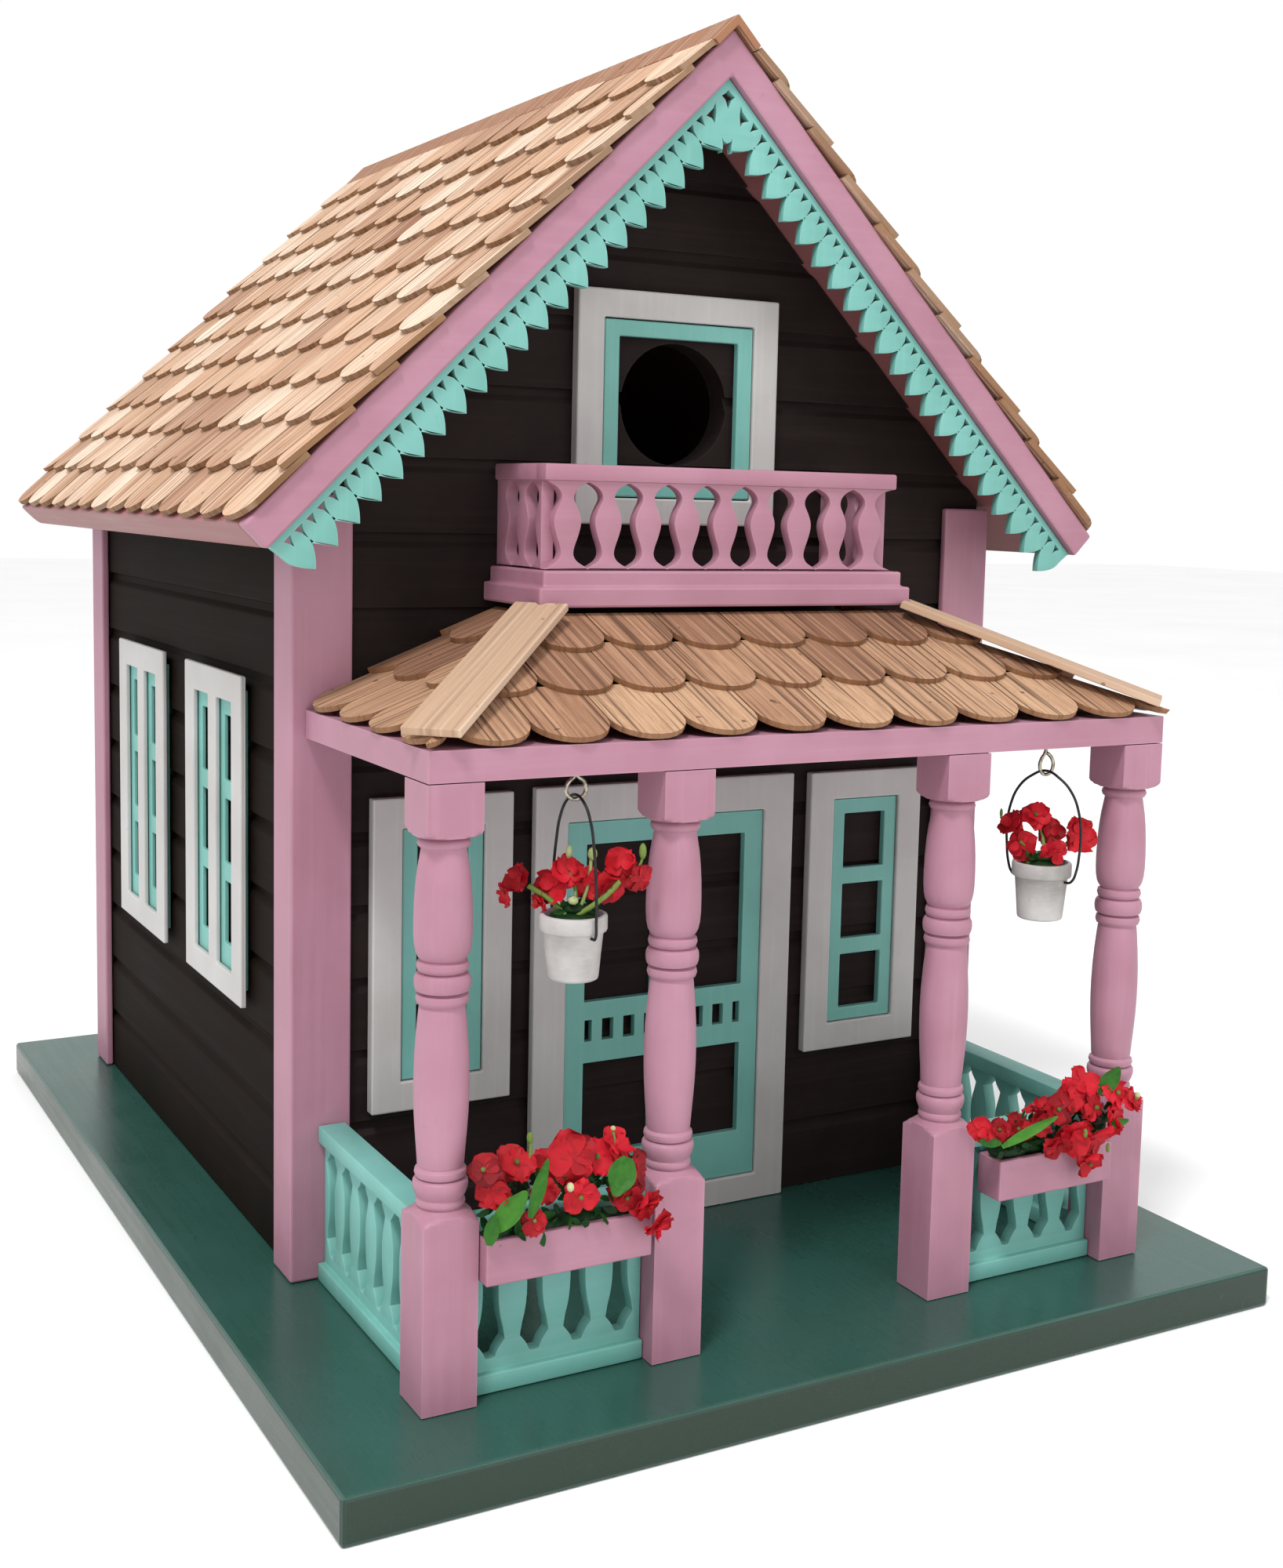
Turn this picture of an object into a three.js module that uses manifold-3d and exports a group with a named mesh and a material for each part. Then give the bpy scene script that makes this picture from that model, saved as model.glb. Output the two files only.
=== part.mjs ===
// Victorian cottage birdhouse: a gabled nest box on a wide plank base, with a railed front porch, a balcony
// below the entrance hole, shingled roofs, flower boxes, two hanging flower pots and a clean-out hatch behind.
// Millimetres, +Z up, the front of the house faces -Y, origin at the centre of the base's underside.
import * as THREE from 'three';
import { mergeVertices } from 'three/addons/utils/BufferGeometryUtils.js';
import Module from 'manifold-3d';

const wasm = await Module();
wasm.setup();

// ---------------------------------------------------------------- driving dimensions
const GAP = 0.3;

const BASE_WIDTH = 304.8;
const BASE_DEPTH = 408;
const BASE_TOP = 12.7;
const FLOOR = BASE_TOP + GAP;

const WALL_HALF_WIDTH = 122.5;
const WALL_THICKNESS = 10;
const FRONT_SIDING = -80;
const BACK_SIDING = 169;
const COURSE_HEIGHT = 22.2;
const FIRST_COURSE = 14.3;
const COVE_DEPTH = 1.8;
const COVE_HEIGHT = 4.6;

const POST_PROUD = 3;
const POST_FRONT_LEG = 18.5;
const POST_SIDE_LEG = 16.8;
const POST_TOP = 247;

const ROOF_APEX = 386.5;
const ROOF_DROP = 13.5;
const EAVE_X = 147.9;
const GABLE_FRONT = -111.1;
const ROOF_BACK = 203;
const BARGEBOARD_THICKNESS = 5.7;
const WALL_APEX = ROOF_APEX - ROOF_DROP - 0.5;

const SHINGLE_ROWS = 11;
const SHINGLE_EXPOSURE = 18.2;
const SHINGLE_START = -0.5;
const SHINGLE_THICKNESS = 2.2;
const SHINGLE_FRONT = -113.2;
const SHINGLE_BACK = 203.4;
const RIDGE_CAP_WIDTH = 8.8;

const LEAF_COUNT = 21;
const LEAF_PITCH = 8.9;
const LEAF_FIRST = 18.2;
const LEAF_LENGTH = 14.5;
const LEAF_NOTCH = 8;

const HOLE_RADIUS = 19.05;
const HOLE_HEIGHT = 277.5;
const TRIM_FACE = -84;

const PORCH_HALF_WIDTH = 121.3;
const PORCH_FRONT = -177;
const PORCH_UNDERSIDE = 176.8;
const PORCH_THICKNESS = 8.2;

const COLUMN_SIDE = 15.27;
const COLUMN_OUTER_X = 113.8;
const COLUMN_INNER_X = 46.74;
const COLUMN_Y = -169.3;
const COLUMN_FACETS = 12;

const BALCONY_HALF_WIDTH = 64.9;
const BALCONY_FRONT = -120.5;
const BALCONY_BOTTOM = 216.2;
const BALCONY_STEP = 222;
const BALCONY_TOP = 226.7;

const RAIL_TOP = 60.6;
const RAIL_WIDTH = 8.4;
const FRET_THICKNESS = 4.3;
const SIDE_RAIL_X = 113;
const FRONT_RAIL_Y = -167.9;

const POT_HINGE_HEIGHT = 12;
const WIRE_RADIUS = 0.4;
const EYE_WIRE_RADIUS = 0.45;
const LEFT_POT = { x: -77, y: -169.5, bottom: 121.8, bailAngle: -80, eyeBottom: 169.5 };
const RIGHT_POT = { x: 81.8, y: -169.5, bottom: 123.8, bailAngle: -70, eyeBottom: 167.85 };

const HATCH_HALF_WIDTH = 44;
const HATCH_BOTTOM = 31;
const HATCH_PIVOT_Z = 105.3;
const HATCH_THICKNESS = 9.4;
const HATCH_CLEARANCE = 1;
const HATCH_PIN_RADIUS = 1.6;
const HATCH_PIN_REACH = 6;
const BUTTON_PIVOT_Z = 22;

// ---------------------------------------------------------------- paints
const paint = (color, roughness, metalness = 0) => new THREE.MeshStandardMaterial({ color, roughness, metalness });
const PAINTS = {
  green: () => paint(0x2c5448, 0.35),
  siding: () => paint(0x2b2422, 0.7),
  pink: () => paint(0xcd91a5, 0.55),
  mint: () => paint(0x7cc2b3, 0.5),
  white: () => paint(0xd6d4d8, 0.55),
  cedar: () => paint(0xc89b73, 0.8),
  pot: () => paint(0xe4e2dc, 0.6),
  wire: () => paint(0x16181a, 0.4, 0.6),
  nickel: () => paint(0x9c9684, 0.3, 0.9),
  flower: () => paint(0xc41e2a, 0.7),
};

const birdhouse = new THREE.Group();

function add(name, geometry, coat) {
  const shape = geometry.index ? geometry.toNonIndexed() : geometry;
  shape.computeVertexNormals();
  const mesh = new THREE.Mesh(shape, PAINTS[coat]());
  mesh.name = name;
  birdhouse.add(mesh);
}

// ---------------------------------------------------------------- solids: joining and cutting
function toSolid(geometry) {
  const bare = geometry.clone();
  for (const key of Object.keys(bare.attributes)) {
    if (key !== 'position') bare.deleteAttribute(key);
  }
  const merged = mergeVertices(bare, 1e-4);
  return new wasm.Manifold(new wasm.Mesh({
    numProp: 3,
    vertProperties: new Float32Array(merged.attributes.position.array),
    triVerts: new Uint32Array(merged.index.array),
  }));
}

function toGeometry(solid) {
  const mesh = solid.getMesh();
  const geometry = new THREE.BufferGeometry();
  geometry.setAttribute('position', new THREE.BufferAttribute(new Float32Array(mesh.vertProperties), 3));
  geometry.setIndex(new THREE.BufferAttribute(new Uint32Array(mesh.triVerts), 1));
  return geometry;
}

const join = (first, ...others) => toGeometry(others.reduce((sum, g) => sum.add(toSolid(g)), toSolid(first)));
const cut = (first, ...others) => toGeometry(others.reduce((rest, g) => rest.subtract(toSolid(g)), toSolid(first)));
const overlap = (first, second) => toGeometry(toSolid(first).intersect(toSolid(second)));

// ---------------------------------------------------------------- shapes and extrusions
// A prism of a flat outline, standing along the third direction of a frame given by its first two directions.
function prism(points, length, first, second, origin) {
  const shape = new THREE.Shape(points.map(([a, b]) => new THREE.Vector2(a, b)));
  const geometry = new THREE.ExtrudeGeometry(shape, { depth: length, bevelEnabled: false });
  const a = new THREE.Vector3(...first);
  const b = new THREE.Vector3(...second);
  const frame = new THREE.Matrix4().makeBasis(a, b, new THREE.Vector3().crossVectors(a, b));
  frame.setPosition(...origin);
  return geometry.applyMatrix4(frame);
}

// A prism with openings cut right through it.
function extrude(points, holes, length, first, second, origin) {
  const board = prism(points, length, first, second, origin);
  if (holes.length === 0) return board;
  const third = new THREE.Vector3(...first).cross(new THREE.Vector3(...second));
  const below = new THREE.Vector3(...origin).sub(third).toArray();
  return cut(board, ...holes.map((hole) => prism(hole, length + 2, first, second, below)));
}

// A plate facing -Y, drawn in (x, z), from its front face at yFront.
const frontPlate = (points, holes, yFront, depth) =>
  extrude(points, holes, depth, [1, 0, 0], [0, 0, 1], [0, yFront + depth, 0]);

// A plate facing X, drawn in (y, z), from x = xLow to xLow + depth.
const sidePlate = (points, holes, xLow, depth) => extrude(points, holes, depth, [0, 1, 0], [0, 0, 1], [xLow, 0, 0]);

// A plate lying flat, drawn in (x, y), from z = zLow to zLow + depth.
const flatPlate = (points, holes, zLow, depth) => extrude(points, holes, depth, [1, 0, 0], [0, 1, 0], [0, 0, zLow]);

const rectangle = (a0, a1, b0, b1) => [[a0, b0], [a1, b0], [a1, b1], [a0, b1]];
const block = (x0, x1, y0, y1, z0, z1) => flatPlate(rectangle(x0, x1, y0, y1), [], z0, z1 - z0);
const mirrorX = (points) => points.map(([a, b]) => [-a, b]).reverse();

function turned(profile, facets, x, y, z) {
  const geometry = new THREE.LatheGeometry(profile.map(([r, h]) => new THREE.Vector2(r, h)), facets);
  return geometry.rotateX(Math.PI / 2).translate(x, y, z);
}

// A round bar from one point to another.
function rod(radius, from, to, facets = 12) {
  const start = new THREE.Vector3(...from);
  const along = new THREE.Vector3(...to).sub(start);
  const geometry = new THREE.CylinderGeometry(radius, radius, along.length(), facets);
  geometry.translate(0, along.length() / 2, 0);
  const turn = new THREE.Quaternion().setFromUnitVectors(new THREE.Vector3(0, 1, 0), along.normalize());
  return geometry.applyQuaternion(turn).translate(...from);
}

// A bent wire of round section through the given points.
function wire(points, radius, steps, facets = 5) {
  const section = new THREE.Shape();
  for (let i = 0; i < facets; i += 1) {
    const angle = (2 * Math.PI * i) / facets;
    const spot = [radius * Math.cos(angle), radius * Math.sin(angle)];
    if (i === 0) section.moveTo(...spot);
    else section.lineTo(...spot);
  }
  section.closePath();
  const path = new THREE.CatmullRomCurve3(points.map((p) => new THREE.Vector3(...p)), false, 'centripetal');
  return new THREE.ExtrudeGeometry(section, { steps, bevelEnabled: false, extrudePath: path });
}

// A cut-out symmetrical about centre: its half-widths at each height, from bottom to top.
function symmetricalHole(centre, halfWidths) {
  const right = halfWidths.map(([w, z]) => [centre + w, z]);
  const left = halfWidths.filter(([w]) => w > 0).map(([w, z]) => [centre - w, z]).reverse();
  return [...right, ...left];
}

// ---------------------------------------------------------------- base and walls
function addBase() {
  const w = BASE_WIDTH / 2;
  const d = BASE_DEPTH / 2;
  add('base_plate', block(-w, w, -d, d, 0, BASE_TOP), 'green');
}

// Section of a drop-siding wall, drawn as (outward, z): flat boards with a cove along each top edge.
function sidingSection(top) {
  const points = [[-WALL_THICKNESS, FLOOR], [0, FLOOR]];
  for (let z = FIRST_COURSE + COURSE_HEIGHT; z < top - 1; z += COURSE_HEIGHT) {
    points.push([0, z - COVE_HEIGHT], [-COVE_DEPTH * 0.75, z - COVE_HEIGHT * 0.6], [-COVE_DEPTH, z], [0, z]);
  }
  points.push([0, top], [-WALL_THICKNESS, top]);
  return points;
}

// A gable wall: siding across the full width, cut to the slopes under the roof.
function gableWall(siding, outward) {
  const slab = extrude(sidingSection(WALL_APEX), [], 2 * WALL_HALF_WIDTH,
    [0, outward, 0], [0, 0, 1], [-outward * WALL_HALF_WIDTH, siding, 0]);
  const w = WALL_HALF_WIDTH;
  const shoulder = WALL_APEX - w;
  const gable = [[-w, 0], [w, 0], [w, shoulder], [0, WALL_APEX], [-w, shoulder]];
  return overlap(slab, frontPlate(gable, [], siding - 30, 60));
}

function addWalls() {
  const hole = rod(HOLE_RADIUS, [0, FRONT_SIDING - 20, HOLE_HEIGHT], [0, FRONT_SIDING + 20, HOLE_HEIGHT], 40);
  add('front_wall', cut(gableWall(FRONT_SIDING, -1), hole), 'siding');
  addBackWall();
  const yFront = FRONT_SIDING + WALL_THICKNESS + GAP;
  const length = BACK_SIDING - WALL_THICKNESS - GAP - yFront;
  const top = WALL_APEX - WALL_HALF_WIDTH;
  const section = sidingSection(top);
  add('left_wall', extrude(section, [], length, [-1, 0, 0], [0, 0, 1], [-WALL_HALF_WIDTH, yFront, 0]), 'siding');
  add('right_wall', extrude(section, [], length, [1, 0, 0], [0, 0, 1],
    [WALL_HALF_WIDTH, yFront + length, 0]), 'siding');
}

function addBackWall() {
  const half = HATCH_HALF_WIDTH + HATCH_CLEARANCE;
  const top = HATCH_PIVOT_Z + HATCH_THICKNESS / 2 + HATCH_CLEARANCE;
  const pivotY = BACK_SIDING - WALL_THICKNESS / 2;
  const reach = HATCH_HALF_WIDTH + HATCH_PIN_REACH + 1;
  const opening = block(-half, half, BACK_SIDING - 30, BACK_SIDING + 30, HATCH_BOTTOM - HATCH_CLEARANCE, top);
  const pinBore = rod(HATCH_PIN_RADIUS + 0.4, [-reach, pivotY, HATCH_PIVOT_Z], [reach, pivotY, HATCH_PIVOT_Z]);
  const buttonBore = rod(1.6, [0, BACK_SIDING - 7, BUTTON_PIVOT_Z], [0, BACK_SIDING + 5, BUTTON_PIVOT_Z]);
  add('back_wall', cut(gableWall(BACK_SIDING, 1), opening, pinBore, buttonBore), 'siding');
}

// L-shaped corner boards that cap the ends of the siding.
function addCornerPosts() {
  const outer = WALL_HALF_WIDTH + POST_PROUD;
  const inner = WALL_HALF_WIDTH + GAP;
  const plan = (face, inward) => [
    [outer, face], [outer - POST_FRONT_LEG, face], [outer - POST_FRONT_LEG, face + inward * (POST_PROUD - GAP)],
    [inner, face + inward * (POST_PROUD - GAP)], [inner, face + inward * POST_SIDE_LEG],
    [outer, face + inward * POST_SIDE_LEG],
  ];
  const front = plan(FRONT_SIDING - POST_PROUD, 1);
  const back = plan(BACK_SIDING + POST_PROUD, -1);
  const height = POST_TOP - FLOOR;
  add('front_left_corner_post', flatPlate(mirrorX(front), [], FLOOR, height), 'pink');
  add('front_right_corner_post', flatPlate(front, [], FLOOR, height), 'pink');
  add('back_left_corner_post', flatPlate(mirrorX(back), [], FLOOR, height), 'pink');
  add('back_right_corner_post', flatPlate(back, [], FLOOR, height), 'pink');
}

// ---------------------------------------------------------------- main roof
const SLOPE = Math.SQRT1_2;

// A point of the right slope: s runs up from the eave, n stands out of the roof.
const onSlope = (s, n) => [EAVE_X - (s - n) * SLOPE, ROOF_APEX - EAVE_X + (s + n) * SLOPE];

function addRoofPanels() {
  const yFront = GABLE_FRONT + BARGEBOARD_THICKNESS + GAP;
  const depth = ROOF_DROP * SLOPE;
  const back = ROOF_BACK - 3.5;
  const round = 6;
  const section = [[yFront, 0], [yFront, -depth]];
  for (let i = 0; i <= 4; i += 1) {
    const angle = (Math.PI / 8) * i;
    section.push([back - round + round * Math.sin(angle), -depth + round - round * Math.cos(angle)]);
  }
  section.push([back, 0]);
  const length = EAVE_X / SLOPE + 20;
  const left = extrude(section, [], length, [0, 1, 0], [-SLOPE, 0, SLOPE], [-EAVE_X, 0, ROOF_APEX - EAVE_X]);
  const right = extrude(section.map(([y, n]) => [-y, n]), [], length,
    [0, -1, 0], [SLOPE, 0, SLOPE], [EAVE_X, 0, ROOF_APEX - EAVE_X]);
  add('left_roof_panel', cut(left, block(-GAP / 2, 60, -300, 300, 200, 500)), 'pink');
  add('right_roof_panel', cut(right, block(-60, GAP / 2, -300, 300, 200, 500)), 'pink');
}

// One slope's shingle courses: each course lies on the one below it and ends in a thick butt edge.
function shingleSection() {
  const end = EAVE_X / SLOPE - RIDGE_CAP_WIDTH - 0.4;
  const points = [onSlope(SHINGLE_START, GAP), onSlope(SHINGLE_START, 1.5 * SHINGLE_THICKNESS)];
  for (let row = 1; row < SHINGLE_ROWS; row += 1) {
    const butt = SHINGLE_START + row * SHINGLE_EXPOSURE;
    points.push(onSlope(butt, SHINGLE_THICKNESS), onSlope(butt, 2 * SHINGLE_THICKNESS));
  }
  points.push(onSlope(end, SHINGLE_THICKNESS), onSlope(end, GAP));
  return points;
}

function addShingles() {
  const section = shingleSection();
  const depth = SHINGLE_BACK - SHINGLE_FRONT;
  add('right_shingles', frontPlate(section, [], SHINGLE_FRONT, depth), 'cedar');
  add('left_shingles', frontPlate(mirrorX(section), [], SHINGLE_FRONT, depth), 'cedar');
  const low = EAVE_X / SLOPE - RIDGE_CAP_WIDTH;
  const thick = 2.6;
  const half = [onSlope(low, GAP), onSlope(low, thick)];
  const cap = [...half, [0, ROOF_APEX + thick / SLOPE], ...mirrorX(half), [0, ROOF_APEX + GAP / SLOPE]];
  add('ridge_cap', frontPlate(cap, [], SHINGLE_FRONT - GAP, depth + GAP), 'cedar');
}

function addBargeboard() {
  const under = ROOF_DROP / 2;
  const eave = ROOF_APEX - EAVE_X;
  const points = [
    [-EAVE_X, eave], [-EAVE_X + under, eave - under], [0, ROOF_APEX - ROOF_DROP],
    [EAVE_X - under, eave - under], [EAVE_X, eave], [0, ROOF_APEX],
  ];
  add('front_bargeboard', frontPlate(points, [], GABLE_FRONT, BARGEBOARD_THICKNESS), 'pink');
}

// ---------------------------------------------------------------- gable trim
const TRIM_APEX = ROOF_APEX - ROOF_DROP - GAP / SLOPE;

// A point of the right half of the trim: s runs down the slope from the apex, t hangs below it.
const onTrim = (s, t) => [(s - t) * SLOPE, TRIM_APEX - (s + t) * SLOPE];

// The leaves' lower edge, from the tip of the middle leaf down the right side to the eave.
function leafEdge() {
  const below = (x, depth) => [x, TRIM_APEX - depth];
  const points = [below(0, 18.7), below(1.1, 18.1), below(1.6, 17.4), below(1.8, 19.5), below(2, 21.5)];
  const half = LEAF_PITCH / 2;
  for (let i = 0; i < LEAF_COUNT; i += 1) {
    const centre = LEAF_FIRST + i * LEAF_PITCH;
    if (i > 0) {
      points.push(onTrim(centre - half, LEAF_NOTCH), onTrim(centre - half * 0.66, LEAF_LENGTH - 2.4));
    }
    points.push(onTrim(centre, LEAF_LENGTH));
    if (i < LEAF_COUNT - 1) {
      points.push(onTrim(centre + half * 0.66, LEAF_LENGTH - 2.4));
    }
  }
  const last = LEAF_FIRST + (LEAF_COUNT - 1) * LEAF_PITCH;
  points.push(onTrim(last + 1.8, LEAF_LENGTH - 1.6), onTrim(last + 3.6, LEAF_NOTCH), onTrim(last + 4, 0));
  return points;
}

// Two small darts for each leaf: a long one above each notch and a shorter one above each leaf's middle.
function trimDarts() {
  const darts = [];
  for (let i = 0; i < LEAF_COUNT; i += 1) {
    for (const [shift, tail] of [[0, 4.3], [0.5, 5.6]]) {
      const s = LEAF_FIRST + (i + shift) * LEAF_PITCH;
      if (i === LEAF_COUNT - 1 && shift > 0) break;
      darts.push([onTrim(s - 1.4, 1.9), onTrim(s + 1.4, 1.9), onTrim(s, tail)]);
    }
  }
  return darts;
}

function addGableTrim() {
  const right = leafEdge();
  const edge = [...right.slice(1).reverse(), right[0], ...right.slice(1).map(([x, z]) => [-x, z]), [0, TRIM_APEX]];
  const darts = trimDarts();
  const star = [[0, -3.4], [1.2, -5.6], [3.2, -6.8], [1.3, -7.9], [0, -10.4], [-1.3, -7.9], [-3.2, -6.8], [-1.2, -5.6]];
  const slot = [[4.6, -9.4], [6.6, -9.2], [6.4, -12.2], [5, -14.2], [3.8, -12]];
  const lift = (points) => points.map(([x, z]) => [x, TRIM_APEX + z]);
  const holes = [...darts, ...darts.map(mirrorX), lift(star), lift(slot), mirrorX(lift(slot))];
  add('gable_trim', frontPlate(edge.reverse(), holes, GABLE_FRONT + 2.4, 3), 'mint');
}

// ---------------------------------------------------------------- windows and door
function addAtticWindow() {
  const frame = rectangle(-36, 36, 239.7, 311.6);
  const rebate = rectangle(-26.9, 26.9, 247.9, 303);
  add('attic_window_frame', frontPlate(frame, [rebate], TRIM_FACE, 3.7), 'white');
  const sash = rectangle(-26.5, 26.5, 248.3, 302.6);
  add('attic_window_sash', frontPlate(sash, [rectangle(-21.3, 21.3, 253.3, 297.6)], TRIM_FACE + 0.8, 2.9), 'mint');
}

function addFrontWindow(side, centre) {
  const bottom = 61.3;
  const top = 157.6;
  const frame = rectangle(centre - 22.8, centre + 22.8, bottom, top);
  const rebate = rectangle(centre - 13.4, centre + 13.4, 70.5, 148.2);
  add(`front_${side}_window_frame`, frontPlate(frame, [rebate], TRIM_FACE, 3.7), 'white');
  const sash = rectangle(centre - 13.1, centre + 13.1, 70.8, 147.9);
  const panes = [[75.1, 93.8], [99.4, 118.4], [124.1, 142.9]].map(([z0, z1]) =>
    rectangle(centre - 8.3, centre + 8.3, z0, z1));
  add(`front_${side}_window_sash`, frontPlate(sash, panes, TRIM_FACE + 1, 2.7), 'mint');
}

function addDoor() {
  const frame = rectangle(-47.5, 47.5, FLOOR, 158.1);
  const rebate = rectangle(-36.2, 36.2, 21.8, 146.5);
  add('door_frame', frontPlate(frame, [rebate], TRIM_FACE, 3.7), 'white');
  const door = rectangle(-35.9, 35.9, 22.1, 146.2);
  const openings = [];
  for (const side of [-1, 1]) {
    const inner = side * 4.6;
    const outer = side * 29.2;
    const low = Math.min(inner, outer);
    const high = Math.max(inner, outer);
    openings.push(rectangle(low, high, 88, 139), rectangle(low, high, 37.5, 68));
    for (const [from, to] of [[3.2, 7.3], [10.8, 14.9], [18.5, 22.6], [26.3, 28.9]]) {
      openings.push(rectangle(Math.min(side * from, side * to), Math.max(side * from, side * to), 75, 82));
    }
  }
  add('screen_door', frontPlate(door, openings, TRIM_FACE + 1, 2.7), 'mint');
}

// Side windows: a white frame with two tall slots, and behind it one sash board with three panes in each slot.
function addSideWindow(name, side, centre) {
  const frame = rectangle(centre - 32.5, centre + 32.5, 85, 190.3);
  const slots = [-1, 1].map((s) => rectangle(centre + s * 13.1 - 8.7, centre + s * 13.1 + 8.7, 93.6, 181));
  const panes = [];
  for (const s of [-1, 1]) {
    for (const [z0, z1] of [[100.9, 121.4], [127.6, 148.4], [154.6, 175.7]]) {
      panes.push(rectangle(centre + s * 13.1 - 5.2, centre + s * 13.1 + 5.2, z0, z1));
    }
  }
  const back = WALL_HALF_WIDTH + GAP;
  const plate = (points, holes, from, depth) => sidePlate(points, holes, side > 0 ? from : -from - depth, depth);
  add(`${name}_window_frame`, plate(frame, slots, back + 1.5 + GAP, 1.7), 'white');
  const sash = rectangle(centre - 29, centre + 29, 89.5, 185.5);
  add(`${name}_window_sash`, plate(sash, panes, back, 1.5), 'mint');
}

function addWindows() {
  addAtticWindow();
  addFrontWindow('left', -77.9);
  addFrontWindow('right', 77.4);
  addDoor();
  addSideWindow('left_front', -1, -2.8);
  addSideWindow('left_back', -1, 91.8);
  addSideWindow('right_front', 1, -2.8);
  addSideWindow('right_back', 1, 91.8);
}

// ---------------------------------------------------------------- porch
// Four corners of a three-sided band round the front of the house, at distance d out from the balcony.
function hipRing(halfWidth, front, wall, z) {
  return [[-halfWidth, wall, z], [-halfWidth, front, z], [halfWidth, front, z], [halfWidth, wall, z]];
}

// Skins a stack of rings of four corners into a closed solid.
function loft(rings) {
  const positions = rings.flat(2);
  const index = [];
  for (let ring = 0; ring + 1 < rings.length; ring += 1) {
    for (let i = 0; i < 4; i += 1) {
      const a = ring * 4 + i;
      const b = ring * 4 + ((i + 1) % 4);
      index.push(a, b, b + 4, a, b + 4, a + 4);
    }
  }
  const top = (rings.length - 1) * 4;
  index.push(0, 2, 1, 0, 3, 2, top, top + 1, top + 2, top, top + 2, top + 3);
  const geometry = new THREE.BufferGeometry();
  geometry.setAttribute('position', new THREE.Float32BufferAttribute(positions, 3));
  geometry.setIndex(index);
  return geometry;
}

const HIP_TOP = { half: 61, front: -116.6, z: 215.9 };
const HIP_RUN = 60.4;
const HIP_FALL = 29;
const HIP_COURSES = 3;
const HIP_BOARD_WIDTH = 16;
const HIP_BOARD_THICKNESS = 2.2;
const HIP_BOARD_LIFT = 1;
const HIP_BOARD_SETBACK = 2;

// The hip roof over the porch: a solid block dressed in three stepped courses of shingles.
function porchRoof() {
  const wall = FRONT_SIDING - POST_PROUD - GAP;
  const rings = [];
  const ringAt = (run, z) => hipRing(HIP_TOP.half + run, HIP_TOP.front - run, wall, z);
  const underside = PORCH_UNDERSIDE + PORCH_THICKNESS + GAP;
  rings.push(ringAt(HIP_RUN, underside));
  for (let course = HIP_COURSES; course > 0; course -= 1) {
    const run = (HIP_RUN * course) / HIP_COURSES;
    const z = HIP_TOP.z - (HIP_FALL * course) / HIP_COURSES;
    rings.push(ringAt(run, z + 0.1));
    if (course > 1) {
      const next = (HIP_RUN * (course - 1)) / HIP_COURSES;
      rings.push(ringAt(next, HIP_TOP.z - (HIP_FALL * (course - 1)) / HIP_COURSES - SHINGLE_THICKNESS));
    }
  }
  rings.push(ringAt(0, HIP_TOP.z));
  return loft(rings);
}

// Flat cedar boards laid over the two hips, clear of the shingle steps below them and the balcony above.
function addHipBoards() {
  const w = BALCONY_HALF_WIDTH + GAP;
  const slab = block(-w, w, BALCONY_FRONT - GAP, 0, 100, 400);
  const roof = porchRoof().translate(0, 0, GAP);
  const floor = block(-200, 200, -300, 0, 100, PORCH_UNDERSIDE + PORCH_THICKNESS + GAP);
  for (const side of [-1, 1]) {
    const top = new THREE.Vector3(side * HIP_TOP.half, HIP_TOP.front, HIP_TOP.z);
    const fall = new THREE.Vector3(side * HIP_RUN, -HIP_RUN, -HIP_FALL);
    const length = fall.length();
    const along = fall.normalize().multiplyScalar(-1);
    const across = new THREE.Vector3(side, 1, 0).normalize();
    const outward = along.clone().cross(across);
    const foot = top.clone().addScaledVector(along, HIP_BOARD_SETBACK - length);
    const low = outward.z > 0 ? HIP_BOARD_LIFT : -HIP_BOARD_LIFT - HIP_BOARD_THICKNESS;
    const section = rectangle(-HIP_BOARD_WIDTH / 2, HIP_BOARD_WIDTH / 2, low, low + HIP_BOARD_THICKNESS);
    const board = prism(section, length - 5.4, across.toArray(), outward.toArray(), foot.toArray());
    add(side < 0 ? 'left_hip_board' : 'right_hip_board', cut(board, slab, floor, roof), 'cedar');
  }
}

function addPorchCeiling() {
  const w = PORCH_HALF_WIDTH;
  const shoulder = FRONT_SIDING - POST_PROUD - GAP;
  const notch = WALL_HALF_WIDTH + POST_PROUD - POST_FRONT_LEG - 0.5;
  const plan = [
    [-w, PORCH_FRONT], [w, PORCH_FRONT], [w, shoulder], [notch, shoulder], [notch, FRONT_SIDING - GAP],
    [-notch, FRONT_SIDING - GAP], [-notch, shoulder], [-w, shoulder],
  ];
  const bores = [LEFT_POT, RIGHT_POT].map((pot) => {
    const circle = [];
    for (let i = 0; i < 10; i += 1) {
      const angle = (Math.PI * i) / 5;
      circle.push([pot.x + 0.8 * Math.cos(angle), pot.y + 0.8 * Math.sin(angle)]);
    }
    return circle;
  });
  add('porch_ceiling_board', flatPlate(plan, bores, PORCH_UNDERSIDE, PORCH_THICKNESS), 'pink');
}

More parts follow.
